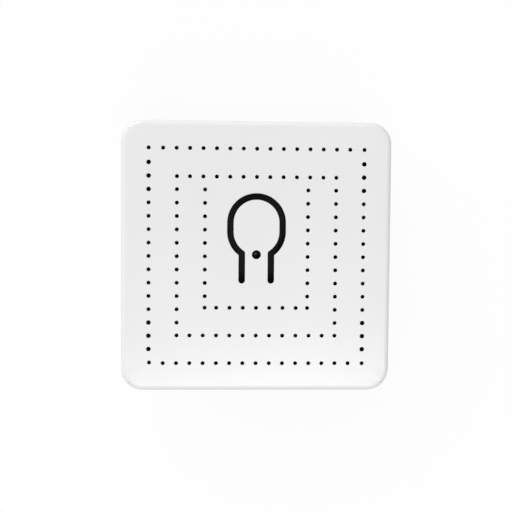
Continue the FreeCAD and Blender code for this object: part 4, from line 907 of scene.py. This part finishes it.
light = bmesh.new()
light_side = (light_y - light_wide / 2, light_y + light_wide / 2)
softened(light, (-light_long / 2, light_long / 2), light_side, (board_top, board_top + light_base),
         soft=0.03)
softened(light, (-lens_long / 2, lens_long / 2), (light_side[0] + 0.03, light_side[1] - 0.03),
         (board_top + light_base - 0.1, board_top + light_tall), soft=0.1)
settle("status_light", light, light_lens(), "light_lens", "status_led")


# Relay
# A sealed case and base of black polyester. The coil of enamelled wire on a pale bobbin turns the
# yoke, core and armature into a magnet, and the armature swings the bronze blade to the contact.

relay_wire = 0.09


def wound_coil(graph, start):
    """One layer of close turns round a smooth drum. The seed's only vertex is the drum's low end."""
    radius, wire, length = start.out("Coil Radius"), start.out("Wire Radius"), start.out("Length")
    turns = (length / (wire * 2)).math("FLOOR")
    winding = wound(graph, turns, steps=20, radius=radius, height=length - wire * 2, sides=5,
                    thick=wire)
    drum = graph.node("GeometryNodeMeshCylinder", {"fill_type": "NGON"}, {
        "Vertices": 40, "Radius": radius, "Depth": length})
    whole = joined(graph, lifted(graph, drum, length * 0.5), lifted(graph, winding, wire))
    return graph.node("GeometryNodeInstanceOnPoints", inputs={
        "Points": start.out("Geometry"), "Instance": whole})


def coil(name, node, along, wire):
    """A wound coil along X or Z in place of one CAD ring."""
    low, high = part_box(node)
    middle = (low + high) / 2 / mm
    if along == "x":
        end, length, width = (low.x / mm, middle.y, middle.z), high.x - low.x, high.z - low.z
    else:
        end, length, width = (middle.x, middle.y, low.z / mm), high.z - low.z, high.x - low.x
    point = bpy.data.meshes.new(name)
    point.from_pydata([(0, 0, 0)], [], [])
    mesh = grow(name, point, {
        "Coil Radius": width / 2 / mm - wire, "Wire Radius": wire, "Length": length / mm},
        copper, wound_coil)
    turn = Matrix.Rotation(math.pi / 2, 4, "Y") if along == "x" else Matrix()
    mesh.transform(Matrix.Translation(Vector(end) * mm) @ turn)
    settle(name, mesh, copper, "copper_wire", node, crease=60)


copper = grained("copper_wire", 0.5, 3, (0.42, 0.12, 0.035), (0.62, 0.24, 0.08), rough=0.22,
                 rise=0.12, relief=0.001, Metallic=0.85)
iron = streaked("soft_iron", (0.4, 3), (0.06, 3, (8, 1, 1)), (0.40, 0.40, 0.39), (0.52, 0.52, 0.51),
                rough=0.3, rise=0.15, relief=0.003, Metallic=1.0)
dress(moulded_black("relay_black", 0.026), "relay_case", "relay_base")
dress(streaked("bobbin_resin", (1.8, 3), (0.12, 3), (0.62, 0.58, 0.48), (0.70, 0.67, 0.58),
               rough=0.38, rise=0.15, relief=0.004), "relay_bobbin")
dress(iron, "relay_core", "relay_yoke", "relay_armature")
dress(bronze, "relay_blade", "relay_fixed_contact", "relay_hinge_spring")
dress(tin, "relay_coil_pins")
coil("relay_coil_turns", "relay_winding", "x", relay_wire)


# Power supply parts
# Two sleeved capacitors, a drum choke, a dipped varistor, a lacquered fuse resistor, a moulded bridge
# and a supply chip hang below the board, each by leads through it.

bulk_long, output_long, sleeve_open, top_deep, stripe_turn = 11.0, 8.0, 2.4, 0.3, 2.5
choke_wire, coat_top, chip_half, driver_half = 0.16, 12.1, 1.95, 0.7
fuse_half, fuse_z, fuse_radius, lead_radius, lead_top, lead_bend = 4.25, 11.1, 1.7, 0.3, 15.0, 0.7
fuse_end_shape = [(0.75, 0), (1.25, 0.12), (1.58, 0.4), (fuse_radius, 0.85), (fuse_radius, 1.45),
                  (1.55, 1.9), (1.5, 2.3)]
fuse_bands = [(-0.62, (0.10, 0.04, 0.02)), (-0.32, (0.012, 0.012, 0.012)),
              (-0.02, (0.012, 0.012, 0.012)), (0.62, (0.45, 0.30, 0.08))]
row_x, row_count, row_start, row_step = 6.0, 4, 1.6, 2.2
small_wide, small_half, cap_start, small_margin = 0.8, 0.8, 0.5, 0.03
resistor_tall, capacitor_tall = 0.5, 0.9


def capacitor_sleeve(name, middle_x, across, start, end, axis):
    """A dark shrink sleeve with a pale stripe, open over a bare aluminium top, and tinned leads."""
    paint = Finish(name)
    along, other = (paint.y, paint.z) if axis == "y" else (paint.z, paint.y)
    dx, dy = paint.x - middle_x * mm, other - across * mm
    radius, angle = (dx * dx + dy * dy).math("SQRT"), dx.math("ARCTAN2", dy)
    lead = abs(along - (start + end) / 2 * mm) > abs(end - start) / 2 * mm
    bare = (radius < sleeve_open * mm) * (along > (max(start, end) - top_deep) * mm)
    grain = paint.noise(0.15, 3)
    sleeve = paint.blend(abs(angle) > stripe_turn, (0.010, 0.012, 0.020), (0.30, 0.31, 0.34))
    metal = (lead + bare).math("MINIMUM", 1)
    return tinned(paint, metal, sleeve, 0.26 + grain * 0.12, grain, 0.003, (0.66, 0.66, 0.66))


def ferrite_grey():
    paint = Finish("ferrite")
    grains = paint.clouds(0.2, 4)
    lead = paint.z > (board_low - 0.05) * mm
    colour = paint.blend(grains, (0.035, 0.035, 0.037), (0.070, 0.070, 0.072))
    return tinned(paint, lead, colour, 0.55 + grains * 0.15 - lead * 0.3, grains, 0.01)


def banded_lacquer(middle_x, half_long):
    """Grey green lacquer with four plain colour bands, and tinned leads."""
    paint = Finish("resistor_coat")
    along = (paint.x - middle_x * mm) / (half_long * mm)
    drips = paint.noise(0.6, 3)
    colour = paint.blend(drips, (0.10, 0.22, 0.17), (0.14, 0.28, 0.21))
    for place, band in fuse_bands:
        colour = paint.blend(abs(along - place) < 0.07, colour, band)
    return tinned(paint, abs(along) > 1.0, colour, 0.25 + drips * 0.15, drips, 0.02)


def dipped_blue():
    paint = Finish("varistor_coat")
    skin = paint.noise(0.7, 3)
    colour = paint.blend(skin, (0.010, 0.060, 0.22), (0.018, 0.095, 0.30))
    return tinned(paint, paint.z > coat_top * mm, colour, 0.2 + skin * 0.15, skin, 0.03)


def legged(name, node, body_half):
    """Chip epoxy between its legs, and tinned legs along its two long sides."""
    low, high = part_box(node)
    paint, filler, black = epoxy(name, (0.014, 0.014, 0.016), (0.028, 0.028, 0.030))
    leg = abs(paint.y - (low.y + high.y) / 2) > (body_half + 0.02) * mm
    dress(tinned(paint, leg, black, 0.48 - leg * 0.2, filler, 0.004), node)


def lead_wire(name, path, y, radius):
    """The mesh of a bent wire that runs through points in x and z."""
    wire = bpy.data.curves.new(name, "CURVE")
    wire.dimensions = "3D"
    wire.bevel_depth, wire.bevel_resolution, wire.use_fill_caps = radius * mm, 3, True
    run = wire.splines.new("POLY")
    run.points.add(len(path) - 1)
    for point, (x, z) in zip(run.points, path):
        point.co = (x * mm, y * mm, z * mm, 1)
    return made_plain(in_scene(name, wire))


def small_row(name, coat, first, second, middle_x, tall, slot, replaced):
    """Small parts in a row, each a ceramic block with a tinned cap over each end."""
    paint = Finish(coat)
    grains = paint.clouds(0.1, 3)
    cap = abs(paint.x - middle_x * mm) > cap_start * mm
    body = paint.blend(grains, first, second)
    tinned(paint, cap, body, 0.45 - cap * 0.15, grains, 0.004, (0.64, 0.64, 0.63))
    row = bmesh.new()
    body_half, margin = cap_start + 0.05, small_margin
    for number in range(row_count):
        low_y = row_start + row_step * number
        softened(row, (middle_x - body_half, middle_x + body_half),
                 (low_y + margin, low_y + small_wide - margin),
                 (board_top + margin, board_top + tall - margin), soft=0.03)
        for side in (-1, 1):
            cap = sorted((middle_x + cap_start * side, middle_x + small_half * side))
            softened(row, cap, (low_y, low_y + small_wide), (board_top, board_top + tall), soft=0.07)
    settle(name, row, paint, slot, replaced)


low, high = [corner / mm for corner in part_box("bulk_capacitor")]
bulk_radius = (high.x - low.x) / 2
dress(capacitor_sleeve("bulk_sleeve", (low.x + high.x) / 2, low.z + bulk_radius, high.y - bulk_long,
                       high.y, "y"), "bulk_capacitor")
low, high = [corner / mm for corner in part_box("output_capacitor")]
middle = (low + high) / 2
dress(capacitor_sleeve("output_sleeve", middle.x, middle.y, board_low - output_long, board_low, "z"),
      "output_capacitor")
dress(ferrite_grey(), "choke_core")
coil("choke_turns", "choke_winding", "z", choke_wire)

fuse_x = sum(fuse_ends) / 2
fuse_shape = bmesh.new()
barrel = [(radius, away - fuse_half) for radius, away in fuse_end_shape]
barrel += [(radius, -along) for radius, along in reversed(barrel)]
turned(fuse_shape, [(0, -fuse_half), *barrel, (0, fuse_half)], (fuse_x, fuse_y, fuse_z), sides=40,
       axis="x")
for end, side in zip(fuse_ends, (-1, 1)):
    corner = arc((end - lead_bend * side, fuse_z + lead_bend), lead_bend, 270, 270 + 90 * side, 6)
    path = [(fuse_x + (fuse_half - 0.3) * side, fuse_z)] + [spot for spot, way in corner]
    fuse_shape.from_mesh(lead_wire("fuse_lead", path + [(end, lead_top)], fuse_y, lead_radius))
settle("fuse_resistor_body", sealed(fuse_shape), banded_lacquer(fuse_x, fuse_half),
       "resistor_coat", "fuse_resistor")
dress(dipped_blue(), "varistor")
legged("bridge_epoxy", "bridge_rectifier", chip_half)
legged("supply_epoxy", "supply_chip", chip_half)
legged("driver_epoxy", "driver_transistor", driver_half)
small_row("resistor_row", "resistor_glass", (0.012, 0.012, 0.013), (0.022, 0.022, 0.024),
          -row_x, resistor_tall, "chip_black", "chip_resistors")
small_row("capacitor_row", "capacitor_ceramic", (0.36, 0.26, 0.16), (0.46, 0.34, 0.22),
          row_x, capacitor_tall, "ceramic_tan", "chip_capacitors")


# Camera, floor and light
# The photograph looks straight down on the button face, from a little to its upper left. A strip
# lamp, a soft panel and a low lamp that grazes the upper left edges light it in a pale studio. The
# case lies on a white floor, which is open under it and clear from below.

camera_spot, camera_look, camera_roll = (-0.0039, 0.0044, 0.1208), (0.0373, -0.0418, -0.9984), 0.35
contact_half, contact_corner, floor_reach, floor_low = 18.6, 2.4, 100, -0.05
bounce_grey, floor_grey, floor_glow, glow_share = 0.5, 0.9, 1.01, 0.88
horizon, zenith, left_glow, under_glow = 0.30, 0.45, 1.20, 0.50
climb_ends, lean_ends = (0.1, 0.4), (0.6, 1.3)


def lamp(name, place, target, width, height, power):
    light = bpy.data.lights.new(name, "AREA")
    light.shape = "RECTANGLE"
    light.size, light.size_y, light.energy = width, height, power
    holder = in_scene(name, light)
    holder.location = place
    away = Vector(target) - Vector(place)
    holder.rotation_euler = away.to_track_quat("-Z", "Y").to_euler()


lens = bpy.data.cameras.new("photo_camera")
lens.lens, lens.sensor_width, lens.clip_start = 50, 36, 0.005
back = -Vector(camera_look).normalized()
right = Matrix.Rotation(math.radians(camera_roll), 3, "Z") @ Vector((1, 0, 0))
up = back.cross(right).normalized()
right = up.cross(back)
camera = in_scene("photo_camera", lens)
camera.rotation_euler = Matrix((right, up, back)).transposed().to_euler()
camera.location = camera_spot
bpy.context.scene.camera = camera


def seen_directly(graph):
    """1 for what the camera sees itself, in a mirror or through glass, and 0 for light that bounces."""
    path = graph.node("ShaderNodeLightPath")
    seen = path.out("Is Camera Ray") + path.out("Is Glossy Ray") + path.out("Is Transmission Ray")
    return seen.math("MINIMUM", 1)


def floor_finish():
    """Pale where it is seen, a plain diffuse grey for light that bounces, and clear from below."""
    paint = Finish("pale_floor")

    def shader(kind, **inputs):
        return paint.node(f"ShaderNode{kind}", inputs=inputs)

    def mix(share, first, second):
        return paint.node("ShaderNodeMixShader", inputs={0: share, 1: first, 2: second})

    bounce, white = [shader("BsdfDiffuse", Color=(grey, grey, grey, 1))
                     for grey in (bounce_grey, floor_grey)]
    glow = shader("Emission", Color=(1, 1, 1, 1), Strength=floor_glow)
    above = mix(seen_directly(paint), bounce, mix(glow_share, white, glow))
    below = paint.node("ShaderNodeNewGeometry", out="Backfacing")
    whole = mix(below, above, shader("BsdfTransparent"))
    paint.node("ShaderNodeOutputMaterial", inputs={"Surface": whole})
    return paint


rim = [spot for spot, way in rounded_square(contact_half, contact_corner)]
spots = [(x * reach * mm, y * reach * mm, floor_low * mm) for reach in (1, floor_reach) for x, y in rim]
around = [(number, (number + 1) % len(rim)) for number in range(len(rim))]
quads = [(low, low + len(rim), high + len(rim), high) for low, high in around]
floor_mesh = bpy.data.meshes.new("floor")
floor_mesh.from_pydata(spots, [], quads)
floor_mesh.materials.append(floor_finish().material)
in_scene("floor", floor_mesh)

world = bpy.data.worlds.new("studio")
world.use_nodes = True
world.node_tree.nodes.clear()
sky = Graph(world.node_tree)
way = sky.node("ShaderNodeSeparateXYZ", inputs={0: sky.node("ShaderNodeTexCoord", out="Generated")})
climb, lean = [sky.node("ShaderNodeMapRange", {"interpolation_type": "SMOOTHSTEP"}, {
    "Value": value, "From Min": low, "From Max": high})
    for value, (low, high) in ((way.out("Z"), climb_ends),
                               (way.out("Y") * 1.5 - way.out("X"), lean_ends))]
ambient = climb * (zenith - horizon) + lean * left_glow + (way.out("Z") < 0) * under_glow + horizon
brightness = seen_directly(sky) * (1 - ambient) + ambient
backdrop = sky.node("ShaderNodeBackground", inputs={"Color": (1, 1, 1, 1), "Strength": brightness})
sky.node("ShaderNodeOutputWorld", inputs={"Surface": backdrop})
bpy.context.scene.world = world
bpy.context.scene.view_settings.view_transform = "Standard"

lamp("strip_lamp", (0.015, -0.152, 0.490), (0, 0, 0.01), width=0.25, height=0.05, power=0.42)
lamp("soft_panel", (0.03, -0.36, 0.36), (0, 0, 0.01), width=0.45, height=0.38, power=0.67)
lamp("edge_lamp", (-0.24, 0.44, 0.075), (0, 0, 0.017), width=0.30, height=0.06, power=0.50)
